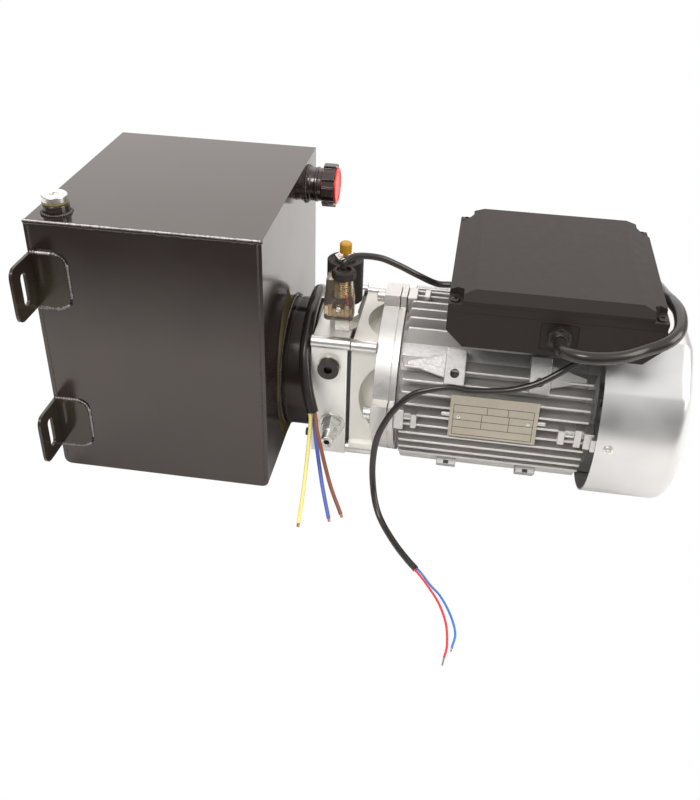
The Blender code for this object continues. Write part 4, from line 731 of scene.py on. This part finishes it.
def pump_end():
    """Manifold with a square lower corner in front, adapter, corner rods, plug, fitting and bleed screw."""
    # The block takes the shinier aluminium; its paler colour is painted light.
    block = deepened("manifold_block", "paled_milled")
    bead = rectangle(MANIFOLD_FRONT - 9, MANIFOLD_FRONT, CORNER_LOW - 3, -50)
    carve(block, prism(bead, 245, 290, "X"))
    corner = rectangle(MANIFOLD_FRONT, MANIFOLD_FRONT + 15, CORNER_LOW, -58)
    carve(block, prism(corner, *MANIFOLD_X, "X"), "UNION")
    settle(ease_edges(block, 0.6), "bright_aluminium", "manifold_block")
    settle(ease_edges(deepened("motor_adapter", "milled"), 0.6), "bright_aluminium", "motor_adapter")
    corner_rods()
    eased_copy("port_plug", 0.6, "dark_steel", "gloss_black")
    eased_copy("outlet_fitting", 0.5, "zinc_steel")
    washer, ring = tube(-65.3, -63.3, 6.8, 13.5), tube(-64.8, -63.3, 8, 12)
    turned_piece("outlet_washer", washer, "Y", FITTING, "zinc_steel", "fitting_washer", soft=0.5)
    turned_piece("plug_ring", ring, "Y", PORT, "nickel", "port_seal", slot="olive_seal", soft=0.4)
    profile = [(245.4, 0), (245.4, 4.2), (249, 4.2), (249, 3.4), (252.05, 3.4), (252.05, 0)]
    turned_piece("bleed_screw", profile, "X", BLEED, "dark_steel", slot="steel", soft=0.4, sides=32)


def valve():
    """Cartridge, coil, nut, override knob and the see-through plug."""
    eased_copy("valve_cartridge", 0.7, "zinc_steel")
    floor = COIL_TOP - 1.1
    profile = [(94, 7.3), (94, 18), (COIL_TOP, 18), (COIL_TOP, 14.6), (floor, 14.2), (floor, 7.3)]
    turned_piece("coil_case", profile, "Z", VALVE, "black_plastic", "solenoid_coil", soft=1.2)
    eased_copy("coil_nut", 0.5, "zinc_steel")
    eased_copy("override_knob", 0.4, "orange_plastic", body="override")
    connector()
    plug_wires()
    plug_thread()
    plug_nut()


def connector():
    """Smoked plug with its terminals and screw."""
    x, y = CONNECTOR
    sections = []
    for height, half, deep in PLUG_SHAPE:
        sections.append((height, rounded(rectangle(x - half, x + half, y - deep, y + deep), 2.5, 4)))
    body = piece_from("plug_body", lofted(sections, "Z"), "smoked_plastic", 28)
    settle(body, "smoked_plastic", "valve_connector")
    inner = prism(rectangle(x - 9, x + 9, y - 3, y + 6), 91, 99, "Z")
    for side in (-8, 0, 8):
        prism(rectangle(x + side - 2.2, x + side + 2.2, y - 6.5, y - 2), 93, 105, "Z", inner)
    eased_piece("plug_terminals", inner, "nickel", 0.6, "zinc_steel")
    fasteners("plug_screw", cross_screw(2.6, 1.6), [(x, y - 10, 101)], (90, 0, 20))


def plug_wires():
    """Two short wires seen through the plug."""
    x, y = CONNECTOR
    for name, finish, side in (("plug_wire_red", "red_core", 4.5), ("plug_wire_blue", "blue_core", -4.5)):
        sections = []
        for i in range(9):
            t = i / 8
            sway = 2.6 * sin(pi * t)
            along = side * (1.5 - 0.9 * t) + copysign(sway, side) + 3 * t
            sections.append((101 + 14 * t, ring_of(10, 1.2, (x + along, y - 5))))
        settle(piece_from(name, lofted(sections, "Z"), finish, 60), finish)


def plug_thread():
    """Nickel thread that the cable nut screws on."""
    low, pitch, turns, root, crest = 112, 2.4, 8, 6.6, 7.9
    profile = [(low, 0)]
    for i in range(turns):
        start = low + pitch * i
        profile += [(start, root), (start + pitch / 2, crest), (start + pitch, root)]
    profile += [(low + pitch * turns + 0.2, 0)]
    place = (CONNECTOR[0] + 2.5, CONNECTOR[1])
    settle(piece_from("plug_thread", turned(profile, "Z", place, 48), "nickel"), "zinc_steel")


def plug_nut():
    """Eight-sided cable nut with an open mouth."""
    shape = ((132.2, 11.2), (133, 11.9), (CABLE_NUT_TOP - 1.6, 11.9), (CABLE_NUT_TOP - 0.1, 10.6))
    sections = [(height, ring_of(8, radius, CABLE_NUT, 10)) for height, radius in shape]
    nut = piece_from("plug_nut", lofted(sections, "Z"), "black_plastic")
    carve(nut, prism(ring_of(32, 7, CABLE_NUT), CABLE_NUT_TOP - 3, CABLE_NUT_TOP + 2, "Z"))
    settle(ease_edges(nut, 0.5), "black_plastic", "connector_gland")


def motor():
    """Flange and its bolts, finned frame, rear shield, cowl and nameplate."""
    flange = copy_of("front_flange", "cast")
    carve(flange, turned(tube(334.2, 335.2, 84.2, 110), "X", AXIS, 96))
    settle(ease_edges(flange, 0.7), "bright_aluminium", "front_flange")
    for place in ("top", "back", "bottom", "front"):
        eased_copy("flange_bolt_" + place, 0.6, "zinc_steel")
    motor_frame()
    rear_shield()
    cowl()
    nameplate()


def fin_plate(builder, place, sign, flat):
    """One fin with slanted ends, standing on the barrel's side or on its top or bottom."""
    root = sqrt(FRAME_RADIUS ** 2 - place ** 2) - FIN_SINK
    tip = sqrt(FIN_RADIUS ** 2 - place ** 2)
    long = [(FRAME_START + 1.5, root), (FRAME_START + 1.8, root + 6), (FRAME_START + 6, tip)]
    long += [(FIN_END - 4, tip), (FIN_END, root + 4), (FIN_END, root)]
    low, high = place - FIN_THICK / 2, place + FIN_THICK / 2
    if flat:
        prism([(along, sign * reach) for along, reach in long], low, high, "Z", builder)
    else:
        prism([(sign * reach, along) for along, reach in long], low, high, "Y", builder)


def stand_out(builder, fresh, angle):
    """Turn a mesh made along +Y to an angle about the drive axis and add it to another."""
    fresh.transform(Matrix.Rotation(radians(angle), 4, "X"))
    spare = bpy.data.meshes.new("spare")
    fresh.to_mesh(spare)
    fresh.free()
    builder.from_mesh(spare)
    bpy.data.meshes.remove(spare)


def block_at(builder, angle, half, low, high, root, reach):
    """A square block that stands out of the barrel."""
    stand_out(builder, prism(rectangle(root, reach, -half, half), low, high, "X"), angle)


def wedge_at(builder, angle, wide, narrow):
    """A gusset that runs out from a boss; each end is (along, reach, half width)."""
    sections = []
    for along, reach, half in sorted((wide, narrow)):
        sections.append((along, rectangle(BOSS_ROOT, reach, -half, half)))
    stand_out(builder, lofted(sections, "X"), angle)


def drill_at(builder, angle, along, radius, low, high):
    """A round plug that stands out of the barrel."""
    stand_out(builder, turned(bar(low, high, radius), "Y", (0, along), 24), angle)


def motor_frame():
    """Barrel, fins with slanted ends, tie-bolt lugs and drilled foot bosses."""
    # The barrel takes the darker cast finish, painted shade for the gaps between the fins.
    barrel = turned(tube(FRAME_START, FRAME_END, FRAME_BORE, FRAME_RADIUS), "X", AXIS, 96)
    eased_piece("motor_barrel", barrel, "shaded_cast", 0.6, "cast_aluminium", "motor_frame", sharp=40)
    fins = bmesh.new()
    for i in range(5):
        for place in (FIN_PITCH * (i + 0.5), -FIN_PITCH * (i + 0.5)):
            fin_plate(fins, place, 1, True)
            fin_plate(fins, place, -1, True)
    for i in range(-4, 5):
        fin_plate(fins, FIN_PITCH * i, 1, False)
        fin_plate(fins, FIN_PITCH * i, -1, False)
    eased_piece("motor_fins", fins, "fin", 0.8, "cast_aluminium")
    lugs = bmesh.new()
    for angle in QUARTERS:
        block_at(lugs, angle, 11.5, FRAME_START, FRAME_START + 10, LUG_ROOT, 94)
        block_at(lugs, angle, 8, FRAME_START + 17, FRAME_START + 23, LUG_ROOT, 95)
    for angle in OPEN_QUARTERS:
        block_at(lugs, angle, 8, 503, 510, LUG_ROOT, 95)
        block_at(lugs, angle, 10, 519, FRAME_END, LUG_ROOT, 94)
    eased_piece("frame_lugs", lugs, "cast", 1, "cast_aluminium", segments=3)
    tie_bolts()
    foot_bosses()


def tie_bolts():
    """Plain rods that pass through the lugs of the frame."""
    rods = bmesh.new()
    for place in ((0, -TIE_REACH), (-TIE_REACH, 0), (TIE_REACH, 0)):
        for low, high in ((346, 362), (506, 534)):
            turned(bar(low, high, 4), "X", place, 24, rods)
    settle(piece_from("tie_bolts", rods, "zinc_steel"), "zinc_steel")


def foot_bosses():
    """Pads for feet on the four corners of the barrel, each with a tapped hole."""
    bosses, holes, painted_hole_shade, gussets = (bmesh.new() for _ in range(4))
    for angle, half, drilled in BOSSES:
        for along in BOSS_X:
            block_at(bosses, angle, half, along - BOSS_HALF, along + BOSS_HALF, BOSS_ROOT, 97)
            drill_at(holes, drilled, along, 4.2, 80, 103)
            # Dark discs at the bottoms of the holes, and dark bands across the lower bosses, are painted
            # shade for the holes' dark insides.
            drill_at(painted_hole_shade, drilled, along, 4.6, 89, 90.5)
            if angle > 180:
                block_at(painted_hole_shade, angle, half + 0.06, along - 2.8, along + 2.8, 92.6, 96.2)
        if angle < 180:
            wedge_at(gussets, angle, (387.5, 93, 11.5), (350, 91, 2))
            wedge_at(gussets, angle, (488.9, 93, 11.5), (524, 91, 2))
    # Pads and gussets take the darker cast finish, painted shade among the fins.
    pads = carve(piece_from("foot_bosses", bosses, "shaded_cast"), holes)
    settle(ease_edges(pads, 0.8), "cast_aluminium")
    eased_piece("boss_gussets", gussets, "shaded_cast", 0.6, "cast_aluminium")
    settle(piece_from("boss_holes", painted_hole_shade, "print_and_shade_black"), "black_rubber")


def rear_shield():
    """Bearing shield with the lugs that carry the cowl."""
    profile = [(526.5, 22), (526.5, 79), (538.5, 77), (538.5, 22)]
    disc = turned(profile, "X", AXIS, 96)
    eased_piece("shield_disc", disc, "cast", 0.8, "cast_aluminium", "rear_shield", sharp=30)
    lugs = bmesh.new()
    for angle in OPEN_QUARTERS:
        block_at(lugs, angle, 9, 528, 537.8, 70, 97)
        block_at(lugs, angle, 7, 534, 557.5, 76, 103.6)
    eased_piece("shield_lugs", lugs, "cast", 1, "cast_aluminium", segments=3)


def cowl_outline(inset, steps=56):
    """Round section with a flat top and a step on each shoulder."""
    radius, flat = COWL_RADIUS - inset, COWL_FLAT - inset
    upper = radius - 5
    top = 90 - degrees(asin(flat / upper))
    points = []
    for side in (1, -1):
        half = [(upper, top + (46 - top) * i / 8) for i in range(9)]
        half += [(radius, 57 + 123 * i / steps) for i in range(steps + (side == 1))]
        if side == -1:
            half.reverse()
        for reach, angle in half:
            turn = radians(angle)
            points.append((side * reach * sin(turn), reach * cos(turn)))
    return points


def cowl_form(inset, start, end, shoulder):
    """Solid of the cowl's section with a rounded far end."""
    outline = cowl_outline(inset)
    sections = [(start, outline)]
    for i in range(9):
        angle = pi / 2 * i / 8
        pull = 1 - shoulder * (1 - cos(angle)) / COWL_RADIUS
        along = end - shoulder + shoulder * sin(angle)
        sections.append((along, [(y * pull, z * pull) for y, z in outline]))
    return lofted(sections, "X")


def cowl():
    """Drawn sheet cowl with a round shoulder, air slots in its end and a screw on each side."""
    outside = cowl_form(0, COWL_START, COWL_END, COWL_SHOULDER)
    inside = cowl_form(COWL_WALL, COWL_START - 1, COWL_END - COWL_WALL, COWL_SHOULDER - COWL_WALL)
    shell = carve(piece_from("cowl_sheet", outside, "brushed", 20), inside)
    slots = bmesh.new()
    for i in range(-4, 5):
        height = AIR_SLOT_PITCH * i
        reach = sqrt(AIR_SLOT_REACH ** 2 - height ** 2)
        slot = rectangle(-reach, reach, height - AIR_SLOT_HALF, height + AIR_SLOT_HALF)
        prism(rounded(slot, 2.9, 5), COWL_END - 4, COWL_END + 1, "X", slots)
    carve(shell, slots)
    shell.data.shade_smooth()
    shell.data.set_sharp_from_angle(angle=radians(24))
    settle(shell, "bright_aluminium", "fan_cowl")
    for side, sign in (("front", -1), ("back", 1)):
        place = (COWL_SCREW_X, sign * (COWL_RADIUS + 0.1), 0)
        fasteners("cowl_screw_" + side, cross_screw(4.6, 2.6), [place], (-90 * sign, 0, 0))


def nameplate():
    """Bare plate with ruled boxes, two rivets and an arm at each end."""
    eased_copy("nameplate", 0.2, "plate", "zinc_steel")
    front = PLATE_FACE - 0.06
    back = front + 0.1
    left, right = PLATE_X[0] + 4, PLATE_X[1] - 4
    low, high = PLATE_Z[0] + 3, PLATE_Z[1] - 11
    rules = bmesh.new()
    rows = [low + (high - low) * i / 4 for i in range(5)]
    for height in rows:
        prism(rectangle(height - RULE_HALF, height + RULE_HALF, left, right), front, back, "Y", rules)
    # Share of the width, and the first and last row, of each upright rule
    for share, first, last in ((0, 0, 4), (1, 0, 4), (0.42, 3, 4), (0.68, 3, 4), (0.36, 1, 3), (0.7, 1, 3)):
        along = left + (right - left) * share
        rule = rectangle(rows[first], rows[last], along - RULE_HALF, along + RULE_HALF)
        prism(rule, front, back, "Y", rules)
    settle(piece_from("plate_rules", rules, "print_and_shade_black"), "black_plastic")
    profile = [(0, 0), (0, 2.2), (0.6, 2), (1.1, 1.2), (1.3, 0)]
    head = piece_from("rivet_head", turned(profile, "Z", AXIS, 24), "zinc_steel")
    places = [(x, PLATE_FACE, PLATE_MIDDLE) for x in (PLATE_X[0] + 9, PLATE_X[1] - 9)]
    fasteners("plate_rivets", head, places, (90, 0, 0))
    arms = bmesh.new()
    for low, high in ((PLATE_X[0] - 8, PLATE_X[0] + 3), (PLATE_X[1] - 3, PLATE_X[1] + 8)):
        turned(bar(low, high, 2.4), "X", (-89.6, PLATE_MIDDLE), 20, arms)
    pad = rectangle(-91.9, -84, PLATE_MIDDLE - 10, PLATE_MIDDLE + 10)
    prism(pad, PLATE_X[0] + 12, PLATE_X[1] - 12, "X", arms)
    eased_piece("plate_arms", arms, "cast", 0.5, "cast_aluminium")


def terminal_box():
    """Base with a shallow recess round the gland, lid and gland."""
    base = copy_of("terminal_box_base", "black_plastic")
    recess = rounded(rectangle(BOX_BOTTOM + 5, 126, GLAND[0] - 17, GLAND[0] + 17), 3)
    carve(base, prism(recess, BOX_FRONT - 1, BOX_FRONT + 1.2, "Y"))
    settle(ease_edges(base, 1.6, 3), "black_plastic", "terminal_box_base")
    lid()
    eased_copy("cable_gland", 0.8, "black_rubber", "black_plastic")


def lid():
    """Rim and raised panel, with a screw in the pocket at each corner."""
    rim = rounded(rectangle(*BOX_X, BOX_FRONT, BOX_BACK), 3, 3)
    cover = piece_from("lid_cover", prism(rim, 128.6, LID_SEAT, "Z"), "black_plastic")
    foot = rectangle(BOX_X[0] + 0.2, BOX_X[1] - 0.2, BOX_FRONT + 0.2, BOX_BACK - 0.2)
    top = rectangle(BOX_X[0] + 24, BOX_X[1] - 24, BOX_FRONT + 6.5, BOX_BACK - 6.5)
    carve(cover, lofted([(LID_SEAT - 4, foot), (LID_RIM, foot), (LID_TOP, top)], "Z"), "UNION")
    pockets = bmesh.new()
    places = []
    for x, inward in ((BOX_X[0], 1), (BOX_X[1], -1)):
        for y, back in ((BOX_FRONT, 1), (BOX_BACK, -1)):
            outline = [(x + a * inward, y + b * back) for a, b in LID_POCKET]
            prism(outline, LID_SEAT, LID_TOP + 5, "Z", pockets)
            places.append((x + 6.2 * inward, y + 7.5 * back, LID_SEAT))
    carve(cover, pockets)
    settle(ease_edges(cover, 1, 3, 15), "black_plastic", "terminal_box_lid")
    fasteners("lid_screws", cross_screw(4.4, 2.6), places, (0, 0, 25), "dark_steel", "steel")


def on_floor(points, radius):
    """Places of a lead's middle line where it lies on the floor."""
    return [(x, y, TANK_BOTTOM - FLOOR_SLOPE * x + radius + GAP) for x, y in points]


def smooth_route(points, spacing, fine=40):
    """Even points on a smooth curve through the route's own points."""
    knots = [Vector(p) for p in points]
    knots = [2 * knots[0] - knots[1]] + knots + [2 * knots[-1] - knots[-2]]
    dense = []
    for k in range(1, len(knots) - 2):
        a, b, c, d = knots[k - 1:k + 3]
        square, cube = 2 * a - 5 * b + 4 * c - d, 3 * b - a - 3 * c + d
        for i in range(fine):
            t = i / fine
            dense.append(0.5 * (2 * b + (c - a) * t + square * t ** 2 + cube * t ** 3))
    dense.append(knots[-2])
    route = [dense[0]]
    for point in dense[1:-1]:
        if (point - route[-1]).length >= spacing:
            route.append(point)
    return route + [dense[-1]]


def lead(name, points, radius, finish, tip=None, slot=None):
    """A round lead along a chosen route, with bare strands on its tip when one is given."""
    route = smooth_route(points, radius)
    curve = bpy.data.curves.new(name + "_lead", "CURVE")
    curve.dimensions = "3D"
    curve.bevel_depth = radius * MM
    curve.bevel_resolution = 6
    curve.use_fill_caps = True
    spline = curve.splines.new("POLY")
    spline.points.add(len(route) - 1)
    spline.use_smooth = True
    for knot, place in zip(spline.points, route):
        knot.co = (*(place * MM), 1)
    curve.materials.append(FINISHES[finish].material)
    piece = settle(added(name + "_lead", curve), slot or finish, name)
    if tip:
        way = (route[-1] - route[-2]).normalized()
        bare_tip(name + "_strands", route[-1], way, radius, *tip)


def bare_tip(name, end, way, radius, finish, reach):
    """Twisted strands that stand out of a core's cut end."""
    builder = bmesh.new()
    strands, steps, sides, twist = 7, 8, 6, 2.2
    side = way.cross(Vector((0.3, 0.2, 1))).normalized()
    up = way.cross(side)

    def spoke(angle, length):
        return (side * cos(angle) + up * sin(angle)) * length

    for s in range(strands):
        turn = 2 * pi * s / (strands - 1)
        orbit = 0 if s == strands - 1 else radius * 0.5
        rings = []
        for k in range(steps + 1):
            middle = end + way * (0.1 + reach * k / steps) + spoke(turn + twist * k / steps, orbit)
            around = [2 * pi * i / sides for i in range(sides)]
            rings.append([builder.verts.new(middle + spoke(angle, radius * 0.26)) for angle in around])
        skinned(builder, rings)
    return settle(piece_from(name, builder, finish, 60), "copper_winding")


def core_start(route, shift, lift):
    """Start of a core on the cut end of a sheath, and the way that the sheath points there."""
    end = Vector(route[-1])
    way = (end - Vector(route[-2])).normalized()
    side = way.cross(Vector((0, 1, 0))).normalized()
    return end + way * GAP + side * shift + side.cross(way) * lift, way


MAIN_ROUTE = [
    (GLAND[0], GLAND_MOUTH - GAP, GLAND[1]), (GLAND[0], GLAND_MOUTH - 9, GLAND[1]),
    (GLAND[0] + 7, GLAND_MOUTH - 21, GLAND[1] + 2), (GLAND[0] + 25, GLAND_MOUTH - 28, GLAND[1] + 4),
    (GLAND[0] + 51, GLAND_MOUTH - 21, GLAND[1] + 4), (GLAND[0] + 74, GLAND_MOUTH - 7, GLAND[1] + 6),
    (BOX_X[1] - 2, -111, 126), (BOX_X[1] + 9.5, -95, 131), (BOX_X[1] + 12, -68, 134),
    (BOX_X[1] + 9.5, -42, 131), (BOX_X[1] + 9, -8, 121), (BOX_X[1] + 9, 45, 106), (BOX_X[1] + 8, 95, 88),
    (BOX_X[1] - 10, 121, 64), (BOX_X[1] - 60, 124, 40), (BOX_X[1] - 130, 118, 16), (BOX_X[0] - 10, 110, 8),
    (BOX_X[0] - 70, 104, 8), (285, 92, 18), (262, 84, 32), (246, 74, 44), (244, 49, 61.8),
    (244.5, 14, 77.2), (245, -30, 72.5), (245.5, -63, 48), (250.5, -78, 18), (258, -86, -7.5),
]
# Start on the cut sheath, bend and tip on the floor of each core
MAIN_CORES = {
    "core_yellow": ((-3, -1.4), (257, -96, -26), (259, -165)),
    "core_blue": ((0.2, 3), (261.5, -92, -27), (287, -150)),
    "core_brown": ((2.4, -2), (267, -102, -26), (298, -141)),
}
VALVE_ROUTE = [
    (*CABLE_NUT, CABLE_NUT_TOP + GAP), (*CABLE_NUT, CABLE_NUT_TOP + 6.3),
    (CABLE_NUT[0] + 10, CABLE_NUT[1] + 7, CABLE_NUT_TOP + 11.3),
    (CABLE_NUT[0] + 31, CABLE_NUT[1] + 15, CABLE_NUT_TOP + 8.3), (BOX_X[0] - 54, -36, 141),
    (BOX_X[0] - 36, -30, 130), (BOX_X[0] - 16, -20, 117), (BOX_X[0] - GAP, -20, 117),
]
SWITCH_ROUTE = [
    (515, -86, BOX_BOTTOM - GAP), (515, -86, BOX_BOTTOM - 8), (502, -94, 80), (479, -101, 66),
    (461, -103, 58), (443, -104, 53), (414, -105, 50), (394, -106, 52), (376, -107, 48), (360, -108, 41),
    (347, -110, 28), (336, -112, 10), (328, -115, -12), (325.5, -118, -40), (328, -125, -65),
    (333.5, -136, -81), (342, -149, -90),
]
SWITCH_FLOOR = [(357, -172), (371, -191), (380.7, -202.3)]
RED_TAIL = [(394.7, -221), (406.4, -240.5), (414.6, -264), (417.2, -288), (415.8, -302)]
BLUE_TAIL = [(396.9, -219), (407, -230.7), (417.4, -251), (423.5, -272.4), (421.6, -290)]
SWITCH_CORES = {
    "core_red": (-1.5, RED_TAIL, "red_core", "red_core", 9),
    "core_sky": (1.5, BLUE_TAIL, "sky_core", "blue_core", 4),
}


def leads():
    """Mains cable and its cores, the valve's lead, and the switch cable with its thin cores."""
    lead("main_cable", MAIN_ROUTE, CABLE_RADIUS, "black_rubber")
    for name, (shift, bend, tip) in MAIN_CORES.items():
        start, way = core_start(MAIN_ROUTE, *shift)
        end = Vector(on_floor([tip], CORE_RADIUS)[0])
        near = Vector(bend).lerp(end, 0.5) - Vector((0, 0, 9))
        colour = name.replace("core_", "") + "_core"
        line = [start, start + way * 5, bend, near, end]
        lead(name, line, CORE_RADIUS, colour, ("copper_winding", CORE_BARE))
    lead("valve_lead", VALVE_ROUTE, THIN_RADIUS, "black_rubber")
    route = SWITCH_ROUTE + on_floor(SWITCH_FLOOR, THIN_RADIUS)
    lead("switch_cable", route, THIN_RADIUS, "black_rubber")
    for name, (shift, points, finish, slot, bare) in SWITCH_CORES.items():
        start, way = core_start(route, 0, shift)
        line = [start, start + way * 8] + on_floor(points, THIN_CORE_RADIUS)
        lead(name, line, THIN_CORE_RADIUS, finish, ("steel", bare), slot)


def floor_sheet():
    """Floor that the camera sees as plain white and that fades out towards the front."""
    corners = rectangle(-5, 6, -5, 6)
    mesh = bpy.data.meshes.new("floor")
    mesh.from_pydata([(x, y, TANK_BOTTOM * MM - FLOOR_SLOPE * x) for x, y in corners], [], [(0, 1, 2, 3)])
    finish = Finish("pale floor", Roughness=0.9)
    along = finish.node("ShaderNodeSeparateXYZ", {0: finish.place})[1]
    near = finish.ranged(along, 0.10, 0.82, *FLOOR_FADE)
    cloud = finish.ranged(finish.noise(3), -0.02, 0.02)
    tone = finish.node("ShaderNodeMath", {0: near, 1: cloud}, operation="ADD")[0]
    finish.set(Base_Color=finish.mixed(tone, (0, 0, 0), (1, 0.99, 0.975)))
    white = finish.node("ShaderNodeEmission", {"Color": WHITE, "Strength": 1})[0]
    seen = finish.node("ShaderNodeLightPath", {})["Is Camera Ray"]
    both = finish.node("ShaderNodeMixShader", {0: seen, 1: finish.shader.outputs[0], 2: white})[0]
    feed(finish.tree, finish.tree.nodes["Material Output"].inputs["Surface"], both)
    mesh.materials.append(finish.material)
    added("floor", mesh)


def stage():
    """Floor, soft boxes, surroundings and the camera."""
    floor_sheet()
    soft_box("back_box", (-0.10, 1.75, 1.30), (0.25, 0, 0.05), (4.4, 2.2), 23, (1, 0.94, 0.91))
    soft_box("key_box", (-0.5, -1.5, 2), (0.25, 0, 0), (1.1, 0.8), 28)
    soft_box("side_box", (2.2, -0.3, 1), (0.3, 0, 0), (1.2, 1.6), 25)
    surroundings()
    camera = added("camera", bpy.data.cameras.new("camera"))
    camera.data.sensor_fit = "VERTICAL"
    camera.data.sensor_height = SENSOR
    camera.data.lens = LENS
    camera.matrix_world = Matrix.Translation(CAMERA_PLACE) @ Matrix(CAMERA_AXES).transposed().to_4x4()
    SCENE.camera = camera
    SCENE.view_settings.view_transform = "Standard"


def soft_box(name, place, target, size, power, colour=WHITE):
    """A rectangular lamp that faces a target."""
    lamp = bpy.data.lights.new(name, "AREA")
    lamp.shape = "RECTANGLE"
    lamp.size, lamp.size_y = size
    lamp.energy = power
    lamp.color = colour
    box = added(name, lamp)
    way = Vector(target) - Vector(place)
    box.rotation_euler = way.to_track_quat("-Z", "Y").to_euler()
    box.location = place


def surroundings():
    """White to the camera; for other rays bright overhead and behind, and dim low down in front."""
    world = bpy.data.worlds.new("surroundings")
    world.use_nodes = True
    tree = world.node_tree

    def node(kind, inputs, **settings):
        return add_node(tree, kind, inputs, **settings)

    def rise(value, start, end, low, high):
        inputs = {"Value": value, "From Min": start, "From Max": end, "To Min": low, "To Max": high}
        return node("ShaderNodeMapRange", inputs, interpolation_type="SMOOTHSTEP")[0]

    def larger(first, second):
        return node("ShaderNodeMath", {0: first, 1: second}, operation="MAXIMUM")[0]

    axes = node("ShaderNodeSeparateXYZ", {0: node("ShaderNodeTexCoord", {})["Generated"]})
    level = larger(rise(axes[2], 0.02, 0.75, 0.22, 0.95), rise(axes[1], -0.35, 0.45, 0, 0.55))
    path = node("ShaderNodeLightPath", {})
    seen = larger(path["Is Camera Ray"], path["Is Transmission Ray"])
    strength = node("ShaderNodeMix", {0: seen, 2: level, 3: 1}, data_type="FLOAT")[0]
    colour = node("ShaderNodeMix", {0: seen, 6: (1, 0.99, 0.98), 7: WHITE}, data_type="RGBA")[2]
    background = tree.nodes["Background"]
    feed(tree, background.inputs["Color"], colour)
    feed(tree, background.inputs["Strength"], strength)
    SCENE.world = world


colour_cad_nodes()
tank()
collar()
brackets()
drain()
filler()
pump_end()
valve()
motor()
terminal_box()
leads()
stage()
